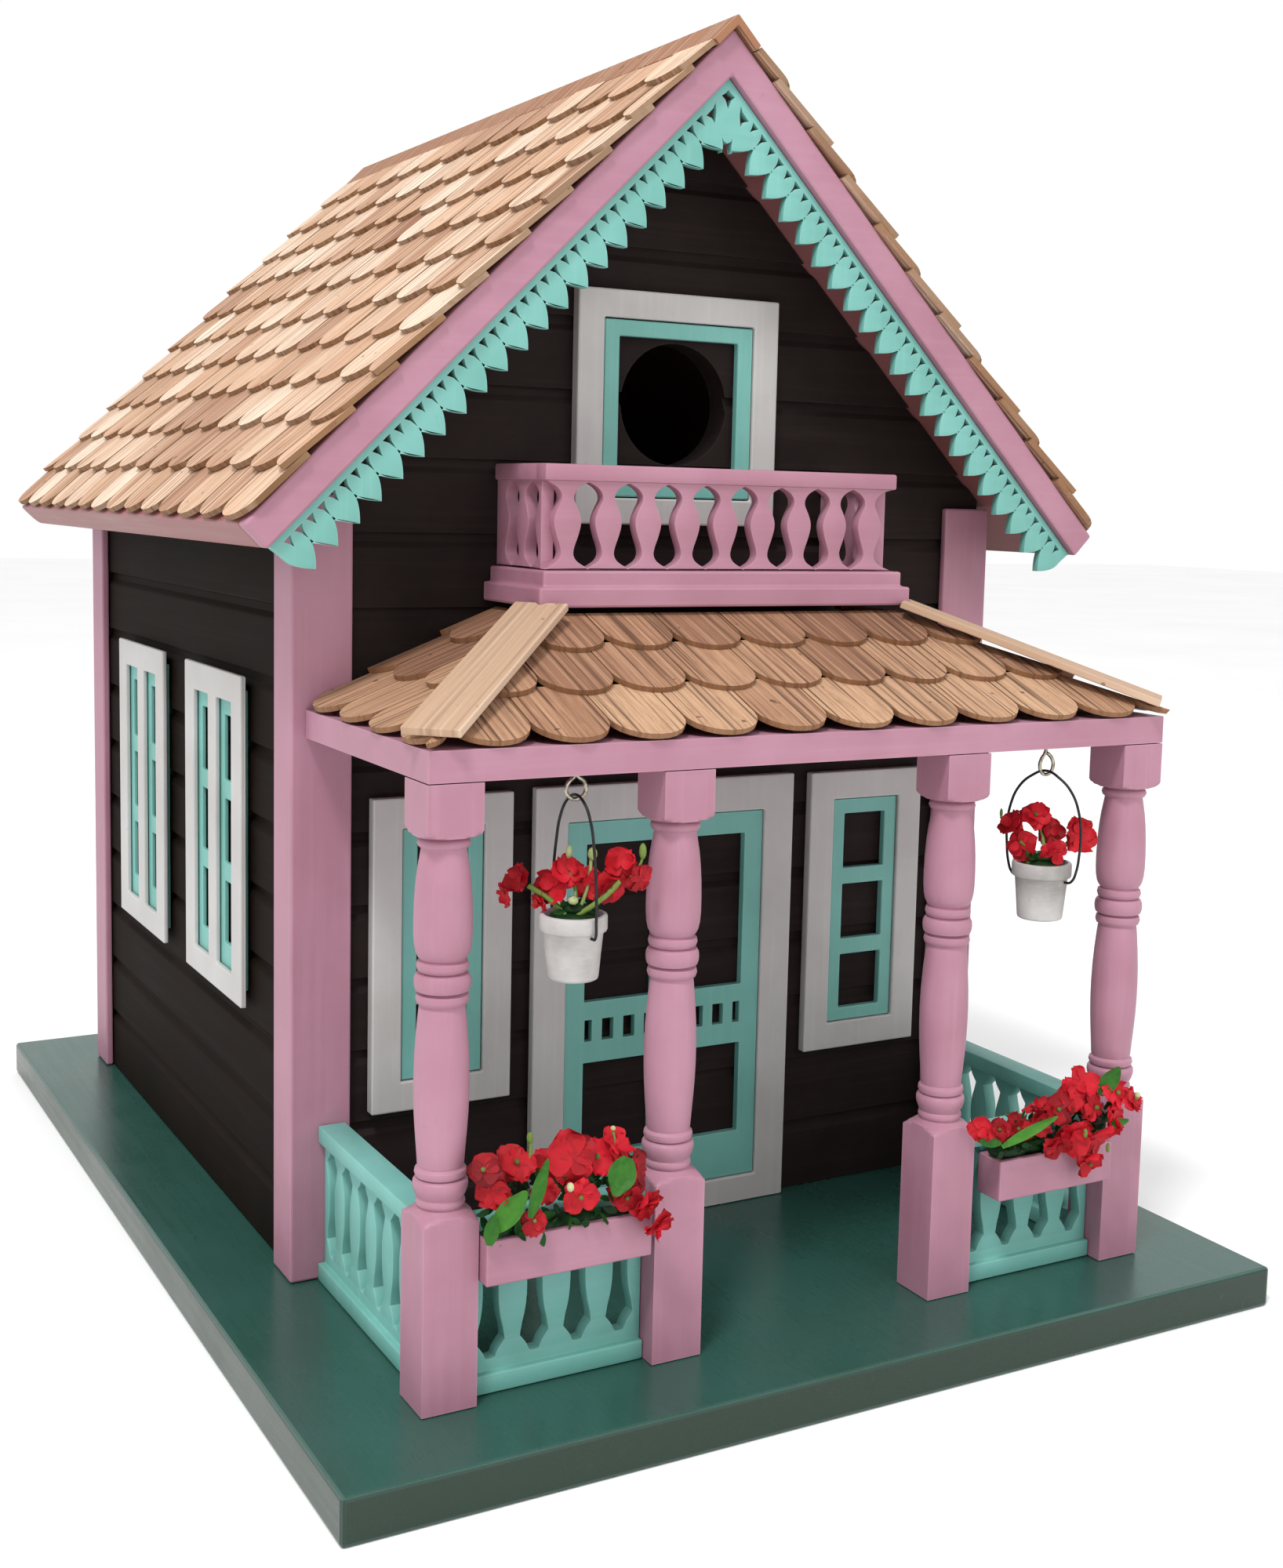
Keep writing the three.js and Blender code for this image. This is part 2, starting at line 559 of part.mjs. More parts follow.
// ---------------------------------------------------------------- turned columns
// Radius and height of the turning; the square parts come from cutting it with a square bar.
const COLUMN_PROFILE = [
  [0, 13], [10.9, 13], [10.9, 63], [7.6, 64.9], [5.9, 66.2], [6.45, 67.3], [6.1, 68.5], [7.2, 72.1], [6.3, 73.7],
  [6.75, 75.3], [6, 76.8], [7.15, 98], [6.1, 118.6], [6.85, 120.6], [6.1, 122.3], [7.3, 124.9], [6.1, 127.2],
  [6.75, 129], [5.9, 130.7], [7.5, 136.5], [7.1, 150], [5.8, 159.2], [6.8, 160.8], [6.2, 162.3], [10.9, 164.2],
  [10.9, 176.5], [0, 176.5],
];

function addColumn(name, x) {
  const half = COLUMN_SIDE / 2;
  const bar = block(x - half, x + half, COLUMN_Y - half, COLUMN_Y + half, 0, 300);
  add(name, overlap(turned(COLUMN_PROFILE, COLUMN_FACETS, x, COLUMN_Y, 0), bar), 'pink');
}

function addColumns() {
  addColumn('outer_left_column', -COLUMN_OUTER_X);
  addColumn('inner_left_column', -COLUMN_INNER_X);
  addColumn('inner_right_column', COLUMN_INNER_X);
  addColumn('outer_right_column', COLUMN_OUTER_X);
}

// ---------------------------------------------------------------- porch railings
const RAIL_FRET = [
  [0, 22.9], [2.3, 24.5], [3.2, 27], [2.2, 34], [1.25, 43], [2.5, 49.6], [1, 53], [0, 54.6],
];

// One railing: fretwork board between a bottom and a top rail, drawn along a and standing in z.
function railing(plate, bar, from, to, count) {
  const pitch = (to - from) / count;
  const holes = [];
  for (let i = 0; i < count; i += 1) holes.push(symmetricalHole(from + (i + 0.5) * pitch, RAIL_FRET));
  const fret = plate(rectangle(from, to, FLOOR + 2, RAIL_TOP - 2), holes);
  return join(fret, bar(FLOOR, FLOOR + 5.4), bar(RAIL_TOP - 5, RAIL_TOP));
}

function addRailings() {
  const half = RAIL_WIDTH / 2;
  const fretHalf = FRET_THICKNESS / 2;
  const from = COLUMN_INNER_X + COLUMN_SIDE / 2 + GAP;
  const to = COLUMN_OUTER_X - COLUMN_SIDE / 2 - GAP;
  const front = (a, b) => railing(
    (points, holes) => frontPlate(points, holes, FRONT_RAIL_Y - fretHalf, FRET_THICKNESS),
    (z0, z1) => block(a, b, FRONT_RAIL_Y - half, FRONT_RAIL_Y + half, z0, z1), a, b, 4);
  add('front_left_railing', front(-to, -from), 'mint');
  add('front_right_railing', front(from, to), 'mint');
  const yFront = COLUMN_Y + COLUMN_SIDE / 2 + GAP;
  const yBack = FRONT_SIDING - POST_PROUD - GAP;
  const side = (x) => railing(
    (points, holes) => sidePlate(points, holes, x - fretHalf, FRET_THICKNESS),
    (z0, z1) => block(x - half, x + half, yFront, yBack, z0, z1), yFront, yBack, 6);
  add('left_side_railing', side(-SIDE_RAIL_X), 'mint');
  add('right_side_railing', side(SIDE_RAIL_X), 'mint');
}

// ---------------------------------------------------------------- balcony
const BALCONY_FRET = [
  [0.4, 227.6], [3, 229.2], [4.6, 231.2], [4, 234], [2.4, 239], [2.6, 242.2], [4.6, 247], [4.2, 249.2], [1.4, 251.6],
  [1, 252.6],
];
const BALCONY_FRET_PITCH = 13.25;
const BALCONY_FRET_SHIFT = -0.9;

function addBalcony() {
  const back = FRONT_SIDING - GAP;
  const w = BALCONY_HALF_WIDTH;
  const lower = block(-w, w, BALCONY_FRONT, back, BALCONY_BOTTOM, BALCONY_STEP);
  const upper = block(2.1 - w, w - 2.1, BALCONY_FRONT + 2.1, back, BALCONY_STEP - 1, BALCONY_TOP);
  add('balcony_floor', join(lower, upper), 'pink');

  const foot = BALCONY_TOP + GAP;
  const front = -115.2;
  const thickness = 4;
  const frontHoles = [];
  for (let i = -4; i <= 5; i += 1) {
    frontHoles.push(symmetricalHole((i - 0.5) * BALCONY_FRET_PITCH + BALCONY_FRET_SHIFT, BALCONY_FRET));
  }
  const frontBoard = cut(block(-60.6, 60.6, front, front + thickness, foot, 253),
    ...frontHoles.map((hole) => frontPlate(hole, [], front - 5, thickness + 10)));
  const sideBoards = [-1, 1].map((side) => {
    const holes = [10.4, 23.9].map((depth) => symmetricalHole(front + depth, BALCONY_FRET));
    const x = side < 0 ? -60.6 : 60.6 - thickness;
    return sidePlate(rectangle(front + 0.1, back, foot, 253), holes, x, thickness);
  });
  const ring = (outer, inner, yFront, yInner) => [
    [-outer, back], [-outer, yFront], [outer, yFront], [outer, back], [inner, back], [inner, yInner],
    [-inner, yInner], [-inner, back],
  ];
  const rail = flatPlate(ring(61.6, 54.6, -116.1, -109.1), [], 252.5, 4.8);
  add('balcony_railing', join(frontBoard, ...sideBoards, rail), 'pink');
}

// ---------------------------------------------------------------- flower boxes and flowers
function openBox(x0, x1, y0, y1, z0, z1) {
  return cut(block(x0, x1, y0, y1, z0, z1), block(x0 + 2, x1 - 2, y0 + 2, y1 - 2, z0 + 2, z1 + 5));
}

function blob(x, y, z, rx, ry, rz) {
  return new THREE.IcosahedronGeometry(1, 1).scale(rx, ry, rz).translate(x, y, z);
}

// A mass of blossom: overlapping rounded heads above a plug of foliage, kept clear of its neighbours.
const bush = (plug, heads, clear) => cut(join(plug, ...heads), ...clear);

function addFlowerBoxes() {
  const left = { x0: -105.7, x1: -57.5, y0: -181, y1: -172.4, z0: 46.4, z1: 58.5 };
  const right = { x0: 61.3, x1: 105.3, y0: -181, y1: -170.3, z0: 41, z1: 53.4 };
  for (const [name, b] of [['left', left], ['right', right]]) {
    add(`${name}_flower_box`, openBox(b.x0, b.x1, b.y0, b.y1, b.z0, b.z1), 'pink');
  }
  const railClear = (x0, x1) => block(x0, x1, -172.4, -160, 0, RAIL_TOP + GAP);
  const boxClear = (b) => cut(block(b.x0 - 0.3, b.x1 + 0.3, b.y0 - 0.3, b.y1 + 0.3, b.z0, b.z1 + 0.3),
    block(b.x0 + 2.3, b.x1 - 2.3, b.y0 + 2.3, b.y1 - 2.3, b.z0 + 2.3, b.z1 + 3));
  const columnClear = (x) => block(x - 8.2, x + 8.2, -177.3, -160, 0, 300);
  const plug = (b) => block(b.x0 + 2.5, b.x1 - 2.5, b.y0 + 2.5, b.y1 - 2.5, b.z0 + 3, b.z1 + 6);
  const leftHeads = [
    blob(-97, -178, 67, 9, 6.5, 7.5), blob(-83, -177, 71, 10, 7.5, 10), blob(-69, -178, 68, 9.5, 7, 8.5),
    blob(-60, -181, 62, 7.5, 5.5, 8), blob(-57.5, -182.5, 55.5, 4.5, 3.5, 5.5),
  ];
  add('left_box_flowers', bush(plug(left), leftHeads, [
    railClear(-120, -40), boxClear(left), columnClear(-COLUMN_OUTER_X), columnClear(-COLUMN_INNER_X),
  ]), 'flower');
  const rightHeads = [
    blob(61, -180.5, 60, 7, 5.5, 6), blob(74, -179, 62, 9, 6.5, 7), blob(88, -179, 66, 10, 7.5, 10),
    blob(101, -181.5, 63, 9.5, 6.5, 9), blob(112, -182, 64, 7, 4.5, 6),
  ];
  add('right_box_flowers', bush(plug(right), rightHeads, [
    railClear(40, 120), boxClear(right), columnClear(COLUMN_INNER_X), columnClear(COLUMN_OUTER_X),
  ]), 'flower');
}

// ---------------------------------------------------------------- hanging pots
const EYE_PATHS = {
  left: [[0, 181], [0, 176.3], [-0.6, 175.2], [-1.8, 174.3], [-2.6, 172.3], [-1.85, 170.35], [0, 169.5],
    [1.85, 170.35], [2.6, 172.1], [2.1, 173.6], [0.9, 174.6]],
  right: [[0, 181], [0, 175.8], [-0.9, 174], [-2.1, 172], [-2.45, 170.4], [-1.7, 168.55], [0, 167.85],
    [1.7, 168.55], [2.45, 170.4], [2.1, 172], [1.25, 173.4]],
};

// Half of each bail, from the bottom bend up to the crown, as distance out and height.
const BAILS = {
  left: [[9.2, 133.8], [9.8, 134.8], [9.85, 138], [9.8, 142], [9.4, 149], [8.4, 157], [6.6, 164.4], [3.6, 169]],
  right: [[9.2, 135.8], [10.4, 136.6], [11.6, 139.5], [12.4, 145], [12.6, 151], [11.6, 157.5], [9, 163.2],
    [4.6, 167.2]],
};

const POT_PROFILE = [
  [0, 0], [6.4, 0], [6.8, 0.5], [8, 12.9], [9, 13.3], [9, 17], [8.7, 17.4], [7.7, 17.4], [7.1, 13], [5.8, 3], [0, 3],
];

function addHangingPot(side, pot) {
  const angle = THREE.MathUtils.degToRad(pot.bailAngle);
  const along = [Math.cos(angle), Math.sin(angle)];
  const across = [-Math.sin(angle), Math.cos(angle)];
  const place = (u, n, z) => [pot.x + u * along[0] + n * across[0], pot.y + u * along[1] + n * across[1], z];
  const hinge = pot.bottom + POT_HINGE_HEIGHT;
  const crown = pot.eyeBottom + EYE_WIRE_RADIUS + WIRE_RADIUS + GAP;

  const eye = EYE_PATHS[side].map(([x, z]) => [pot.x + x, pot.y, z]);
  add(`${side}_screw_eye`, wire(eye, EYE_WIRE_RADIUS, 18), 'nickel');

  const half = [[6.5, hinge], [8.4, hinge], ...BAILS[side]];
  const bail = [
    ...half.map(([u, z]) => place(u, 0, z)), place(0, 0, crown),
    ...half.map(([u, z]) => place(-u, 0, z)).reverse(),
  ];
  add(`${side}_pot_bail`, wire(bail, WIRE_RADIUS, 30), 'wire');

  const bores = rod(0.75, place(-12, 0, hinge), place(12, 0, hinge), 8);
  add(`${side}_pot`, cut(turned(POT_PROFILE, 20, pot.x, pot.y, pot.bottom), bores), 'pot');

  const rim = pot.bottom + 17.4;
  const head = (u, n, z, ru, rn, rz) => new THREE.IcosahedronGeometry(1, 1).scale(ru, rn, rz).rotateZ(angle)
    .translate(...place(u, n, rim + z));
  const plug = new THREE.CylinderGeometry(6.6, 6.2, 5, 12).rotateX(Math.PI / 2).translate(pot.x, pot.y, rim - 0.8);
  const reach = side === 'left' ? 1 : 0.75;
  add(`${side}_pot_flowers`, join(plug,
    head(0, 0, 6.5, 6.4, 9, 6), head(0, -12 * reach, 6, 5.4, 7, 5.4), head(0, 12 * reach, 8, 5.8, 7, 6)), 'flower');
}

// ---------------------------------------------------------------- clean-out hatch
// The hatch hangs on two pins near its top edge, which is rounded about them so that it can swing out and up.
function addHatch() {
  const half = HATCH_THICKNESS / 2;
  const pivotY = BACK_SIDING - WALL_THICKNESS / 2;
  const section = [[pivotY - half, HATCH_BOTTOM], [pivotY + half, HATCH_BOTTOM]];
  for (let i = 0; i <= 8; i += 1) {
    const angle = (Math.PI * i) / 8;
    section.push([pivotY + half * Math.cos(angle), HATCH_PIVOT_Z + half * Math.sin(angle)]);
  }
  const board = sidePlate(section, [], -HATCH_HALF_WIDTH, 2 * HATCH_HALF_WIDTH);
  const reach = HATCH_HALF_WIDTH + HATCH_PIN_REACH;
  const pins = rod(HATCH_PIN_RADIUS, [-reach, pivotY, HATCH_PIVOT_Z], [reach, pivotY, HATCH_PIVOT_Z]);
  add('clean_out_hatch', join(board, pins), 'siding');
}

// A small wooden turn button below the hatch: level when released, upright when it holds the hatch shut.
function addTurnButton() {
  const z = BUTTON_PIVOT_Z;
  const bar = [[-4, -3.2], [11, -3.2], [14, -1.6], [14, 1.6], [11, 3.2], [-4, 3.2], [-5.5, 1.6], [-5.5, -1.6]];
  const plate = frontPlate(bar.map(([x, dz]) => [x, z + dz]), [], BACK_SIDING + 0.4, 3);
  const pin = rod(1.2, [0, BACK_SIDING - 6, z], [0, BACK_SIDING + 4.4, z]);
  add('turn_button', join(plate, pin), 'pink');
}

addBase();
addWalls();
addCornerPosts();
addRoofPanels();
addShingles();
addBargeboard();
addGableTrim();
addWindows();
addPorchCeiling();
add('porch_hip_roof', porchRoof(), 'cedar');
addHipBoards();
addColumns();
addRailings();
addBalcony();
addFlowerBoxes();
addHangingPot('left', LEFT_POT);
addHangingPot('right', RIGHT_POT);
addHatch();
addTurnButton();

export default birdhouse;
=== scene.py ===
"""Looks for the cottage birdhouse: paint, cedar shingles, fretwork, turned columns, flowers and pots."""
import math
import random

import bmesh
import bpy
from mathutils import Matrix, Vector


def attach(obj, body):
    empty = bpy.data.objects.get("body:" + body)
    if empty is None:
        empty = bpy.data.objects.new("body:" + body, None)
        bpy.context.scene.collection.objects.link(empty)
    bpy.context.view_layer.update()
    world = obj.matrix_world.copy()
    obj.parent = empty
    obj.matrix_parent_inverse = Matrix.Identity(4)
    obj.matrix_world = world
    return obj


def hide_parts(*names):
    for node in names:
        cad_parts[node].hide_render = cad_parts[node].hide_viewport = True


MM = 0.001
SLOPE = math.sqrt(0.5)

# Main roof, in millimetres.
ROOF_APEX = 386.5
EAVE_X = 147.9
SHINGLE_ROWS = 11
SHINGLE_EXPOSURE = 18.2
SHINGLE_FRONT = -113.2
SHINGLE_BACK = 203.3
SHINGLES_PER_ROW = 14
SHINGLE_THICKNESS = 1.7
SHINGLE_LENGTH = 26.0
SHINGLE_ROUNDING = 7.6
SHINGLE_LIFT = 2.75
EAVE_LIFT = 1.3
RIDGE_MARGIN = 9.4

# Porch hip roof, in millimetres.
HIP_TOP_HALF = 61.0
HIP_TOP_FRONT = -116.6
HIP_TOP_Z = 215.9
HIP_RUN = 60.4
HIP_FALL = 29.0
HIP_ROWS = 3
HIP_WALL = -83.5
PORCH_PITCH = 22.7
PORCH_PHASES = (0, 0.5, 0.82)
# Tint ranges per porch course, eave course first: the lighter eave course is painted sunlight, the darker
# upper courses painted shade.
PORCH_ROW_LIT_AND_SHADED_TONES = ((0.45, 0.95), (0.15, 0.75), (0.1, 0.65))
PORCH_ROUNDING = 9.6
PORCH_OVERLAP = 6
PORCH_SINK = 3.5

# Gable trim, in millimetres. Leaf sizes are measured along the slope and square to it.
TRIM_APEX = ROOF_APEX - 13.5 - 0.45
TRIM_FACE = -108.7
TRIM_THICKNESS = 2.8
LEAF_COUNT = 21
LEAF_PITCH = 8.85
LEAF_FIRST = 15.9
LEAF_LENGTH = 13.5
LEAF_NOTCH = 6.5

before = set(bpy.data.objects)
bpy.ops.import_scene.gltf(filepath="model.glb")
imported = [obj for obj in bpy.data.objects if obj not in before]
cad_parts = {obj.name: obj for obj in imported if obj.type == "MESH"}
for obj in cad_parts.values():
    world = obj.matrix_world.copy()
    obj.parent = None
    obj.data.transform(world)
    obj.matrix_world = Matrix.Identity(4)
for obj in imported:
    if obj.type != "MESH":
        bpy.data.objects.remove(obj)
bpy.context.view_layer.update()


# ---- material helpers
def linear(red, green, blue):
    def one(value):
        value /= 255
        return value / 12.92 if value <= 0.04045 else ((value + 0.055) / 1.055) ** 2.4
    return (one(red), one(green), one(blue), 1.0)


class Shader:
    """A Principled material with short calls for the nodes that drive it."""

    def __init__(self, name, turn=0.0):
        self.turn = math.radians(turn)
        self.material = bpy.data.materials.new(name)
        self.material.use_nodes = True
        self.nodes = self.material.node_tree.nodes
        self.links = self.material.node_tree.links
        self.surface = self.nodes["Principled BSDF"]

    def link(self, source, target):
        self.links.new(source, target)

    def place(self, scale=(1, 1, 1)):
        """Object coordinates, turned about Z by the material's own angle and then scaled."""
        where = self.nodes.new("ShaderNodeTexCoord")
        rotate = self.nodes.new("ShaderNodeVectorRotate")
        rotate.rotation_type = "Z_AXIS"
        rotate.inputs["Angle"].default_value = self.turn
        mapping = self.nodes.new("ShaderNodeMapping")
        mapping.inputs["Scale"].default_value = scale
        self.link(where.outputs["Object"], rotate.inputs["Vector"])
        self.link(rotate.outputs["Vector"], mapping.inputs["Vector"])
        return mapping.outputs["Vector"]

    def noise(self, vector, scale, detail=4, rough=0.55, distortion=0.0):
        node = self.nodes.new("ShaderNodeTexNoise")
        node.inputs["Scale"].default_value = scale
        node.inputs["Detail"].default_value = detail
        node.inputs["Roughness"].default_value = rough
        node.inputs["Distortion"].default_value = distortion
        self.link(vector, node.inputs["Vector"])
        return node.outputs["Fac"]

    def ramp(self, source, low, high, bottom=0.0, top=1.0):
        node = self.nodes.new("ShaderNodeMapRange")
        node.inputs["From Min"].default_value = low
        node.inputs["From Max"].default_value = high
        node.inputs["To Min"].default_value = bottom
        node.inputs["To Max"].default_value = top
        self.link(source, node.inputs["Value"])
        return node.outputs["Result"]

    def math(self, operation, first, second):
        node = self.nodes.new("ShaderNodeMath")
        node.operation = operation
        for socket, value in zip(node.inputs, (first, second)):
            if isinstance(value, (int, float)):
                socket.default_value = value
            else:
                self.link(value, socket)
        return node.outputs["Value"]

    def mix(self, factor, first, second):
        node = self.nodes.new("ShaderNodeMix")
        node.data_type = "RGBA"
        if isinstance(factor, (int, float)):
            node.inputs[0].default_value = factor
        else:
            self.link(factor, node.inputs[0])
        for socket, value in ((node.inputs[6], first), (node.inputs[7], second)):
            if isinstance(value, tuple):
                socket.default_value = value
            else:
                self.link(value, socket)
        return node.outputs[2]

    def attribute(self, name):
        node = self.nodes.new("ShaderNodeAttribute")
        node.attribute_name = name
        return node.outputs["Fac"]

    def edges(self, radius):
        """One where the surface turns sharply within the radius, zero on flat ground."""
        bevel = self.nodes.new("ShaderNodeBevel")
        bevel.samples = 4
        bevel.inputs["Radius"].default_value = radius
        geometry = self.nodes.new("ShaderNodeNewGeometry")
        dot = self.nodes.new("ShaderNodeVectorMath")
        dot.operation = "DOT_PRODUCT"
        self.link(bevel.outputs["Normal"], dot.inputs[0])
        self.link(geometry.outputs["Normal"], dot.inputs[1])
        return self.ramp(dot.outputs["Value"], 0.985, 0.86)

    def upright(self):
        """One on upright faces, zero on level ones."""
        geometry = self.nodes.new("ShaderNodeNewGeometry")
        parts = self.nodes.new("ShaderNodeSeparateXYZ")
        self.link(geometry.outputs["Normal"], parts.inputs["Vector"])
        return self.ramp(self.math("ABSOLUTE", parts.outputs["Z"], 0.0), 0.7, 0.3)

    def bump(self, height, strength, distance=0.0004):
        node = self.nodes.new("ShaderNodeBump")
        node.inputs["Strength"].default_value = strength
        node.inputs["Distance"].default_value = distance
        self.link(height, node.inputs["Height"])
        self.link(node.outputs["Normal"], self.surface.inputs["Normal"])

    def finish(self, colour, roughness, **fixed):
        self.link(colour, self.surface.inputs["Base Color"])
        self.link(roughness, self.surface.inputs["Roughness"])
        for name, value in fixed.items():
            self.surface.inputs[name.replace("_", " ")].default_value = value
        return self.material


def painted_wood(name, colour, light, dark, grain, rough=(0.42, 0.6), wear=0.5, dust=0.0, grain_bump=0.16,
                 streaks=0.16, shine=0.5, sides=None):
    """Brushed paint over wood: soft mottling, grain showing through, rubbed edges and a few specks.
    With sides given, upright faces take that colour, a darker one painted as shade on the side faces."""
    s = Shader(name)
    mottle = s.noise(s.place(), 28, 5)
    streak = s.noise(s.place(grain), 1.0, 5, 0.6, 0.3)
    fine = s.noise(s.place(), 900, 3)
    base = s.mix(s.ramp(mottle, 0.35, 0.68), dark, colour)
    base = s.mix(s.ramp(streak, 0.5, 0.8, 0, streaks), base, light)
    # Painted shade: upright faces are mixed towards the darker sides colour.
    if sides:
        base = s.mix(s.upright(), base, sides)
    rubbed = s.math("MULTIPLY", s.edges(0.0007), s.ramp(mottle, 0.3, 0.7, wear * 0.4, wear))
    base = s.mix(rubbed, base, light)
    speck = s.ramp(s.noise(s.place(), 420, 2, 0.4), 0.71, 0.76, 0, 0.55)
    base = s.mix(s.math("MULTIPLY", speck, s.ramp(mottle, 0.45, 0.65)), base, dark)
    if dust > 0:
        powder = s.ramp(s.noise(s.place(), 260, 6, 0.7), 0.55, 0.8, 0, dust)
        base = s.mix(powder, base, light)
    s.bump(s.math("ADD", s.math("MULTIPLY", streak, 0.8), s.math("MULTIPLY", fine, 0.25)), grain_bump)
    return s.finish(base, s.ramp(s.math("ADD", mottle, streak), 0.7, 1.3, rough[0], rough[1]),
                    Specular_IOR_Level=shine)


def cedar(name, pale, tan, brown, grain, golden, turn=0, grooves=0.8):
    """Bare cedar: growth-ring streaks, a tone of its own for each piece, and a colour on the sawn edges,
    which on the main roof is darkened as painted shadow under the butts.
    """
    s = Shader(name, turn)
    tint = s.attribute("tint")
    offset = s.math("MULTIPLY", tint, 7.3)
    place = s.place(grain)
    streak = s.noise(place, 1.0, 6, 0.65, 0.6)
    long_grain = tuple(1.5 * g if g > 100 else 0.35 * g for g in grain)
    fine = s.noise(s.place(long_grain), 1.0, 2, 0.5, 0.1)
    blotch = s.noise(s.place(), 45, 4)
    tone = s.math("ADD", s.math("MULTIPLY", tint, 0.75), s.math("MULTIPLY", blotch, 0.25))
    base = s.mix(s.ramp(tone, 0.15, 0.5), brown, tan)
    base = s.mix(s.ramp(tone, 0.5, 0.95), base, pale)
    rings = s.math("PINGPONG", s.math("ADD", s.math("MULTIPLY", streak, 5.0), offset), 0.5)
    base = s.mix(s.ramp(rings, 0.3, 0.02, 0, 0.42), base, brown)
    dark = tuple(0.35 * c for c in brown[:3]) + (1.0,)
    base = s.mix(s.ramp(fine, 0.53, 0.66, 0, grooves), base, dark)
    base = s.mix(s.ramp(fine, 0.46, 0.34, 0, 0.35), base, pale)
    knots = s.ramp(s.noise(s.place(), 330, 1, 0.3), 0.76, 0.8, 0, 0.8)
    base = s.mix(knots, base, dark)
    # Rim faces take the golden edge colour; on the main roof it is darkened as painted shadow under the
    # butts.
    base = s.mix(s.ramp(s.attribute("rim"), 0.2, 0.8, 0, 0.75), base, golden)
    s.bump(s.math("SUBTRACT", s.math("MULTIPLY", rings, 0.8), fine), 0.6, 0.0004)
    return s.finish(base, s.ramp(fine, 0.3, 0.7, 0.62, 0.85), Specular_IOR_Level=0.3)


def tinted(name, dark, middle, light, scale, rough, **fixed):
    """A leaf or petal: tone from the piece's tint attribute, veined and slightly mottled."""
    s = Shader(name)
    vein = s.noise(s.place(), scale, 4, 0.6, 0.5)
    tone = s.math("ADD", s.math("MULTIPLY", s.attribute("tint"), 0.8), s.math("MULTIPLY", vein, 0.35))
    base = s.mix(s.ramp(tone, 0.1, 0.55), dark, middle)
    base = s.mix(s.ramp(tone, 0.55, 1.05), base, light)
    s.bump(vein, 0.35, 0.0004)
    return s.finish(base, s.ramp(vein, 0.3, 0.7, rough[0], rough[1]), **fixed)


def metal(name, dark, light, rough, metallic):
    s = Shader(name)
    cloud = s.noise(s.place(), 700, 4)
    scratch = s.noise(s.place((300, 300, 2500)), 1.0, 3)
    base = s.mix(s.ramp(cloud, 0.35, 0.7), dark, light)
    s.bump(scratch, 0.2, 0.0001)
    return s.finish(base, s.ramp(cloud, 0.3, 0.7, rough[0], rough[1]), Metallic=metallic)


GRAIN_X = (14, 420, 420)
GRAIN_Y = (420, 14, 420)
GRAIN_Z = (420, 420, 14)

pink_paint = dict(colour=linear(172, 124, 142), light=linear(200, 154, 170), dark=linear(160, 110, 128))
mint_paint = dict(colour=linear(116, 178, 170), light=linear(156, 206, 196), dark=linear(102, 164, 154))
white_paint = dict(colour=linear(188, 186, 184), light=linear(222, 221, 219), dark=linear(174, 171, 169))
front_siding = dict(colour=linear(42, 34, 33), light=linear(70, 60, 58), dark=linear(32, 25, 24))
# The side walls' siding is a darker copy of the front's: painted shade on the side walls.
shaded_side_siding = dict(colour=linear(31, 24, 20), light=linear(54, 45, 38), dark=linear(22, 17, 14))

PINK_X = painted_wood("pink paint, grain across", grain=GRAIN_X, **pink_paint)
PINK_Z = painted_wood("pink paint, grain upright", grain=GRAIN_Z, **pink_paint)
MINT_X = painted_wood("mint paint, grain across", grain=GRAIN_X, **mint_paint)
MINT_Z = painted_wood("mint paint, grain upright", grain=GRAIN_Z, **mint_paint)
WHITE = painted_wood("white paint", grain=GRAIN_Z, rough=(0.4, 0.55), **white_paint)
SIDING_X = painted_wood("dark siding, across", grain=GRAIN_X, rough=(0.6, 0.72), wear=0.3, dust=0.05,
                        shine=0.06, **front_siding)
# Side walls: the darker siding colour is painted shade.
SIDING_Y = painted_wood("dark siding, front to back", grain=GRAIN_Y, rough=(0.6, 0.72), wear=0.3, dust=0.03,
                        shine=0.03, **shaded_side_siding)
# The base's sides colour is painted shade on its upright edge faces.
BASE_GREEN = painted_wood("dark green base", colour=linear(42, 82, 74), light=linear(88, 124, 116),
                          dark=linear(39, 77, 67), grain=GRAIN_Y, rough=(0.22, 0.34), wear=0.9, dust=0.04,
                          streaks=0.02, grain_bump=0.01, sides=linear(13, 44, 29))
POT_WHITE = painted_wood("pot paint", colour=linear(204, 202, 200), light=linear(226, 225, 222),
                         dark=linear(136, 132, 128), grain=(300, 300, 1200), rough=(0.35, 0.5), wear=0.3)
# A darker copy of the pink paint for the roof panels, whose eave faces lie in shade: painted shade.
PINK_ROOF_SHADED = painted_wood("pink paint in painted shade, roof panels", grain=GRAIN_Y, colour=linear(152, 100, 100),
                         light=linear(178, 124, 124), dark=linear(140, 88, 86))
# The main roof's dark golden edge colour is partly the cedar's sawn edge and partly painted shadow under the
# butts.
CEDAR_ROOF = cedar("cedar shingles", grain=(30, 560, 30), pale=linear(250, 234, 214),
                   tan=linear(207, 166, 134), brown=linear(152, 106, 78), golden=linear(108, 74, 38),
                   grooves=0.6)
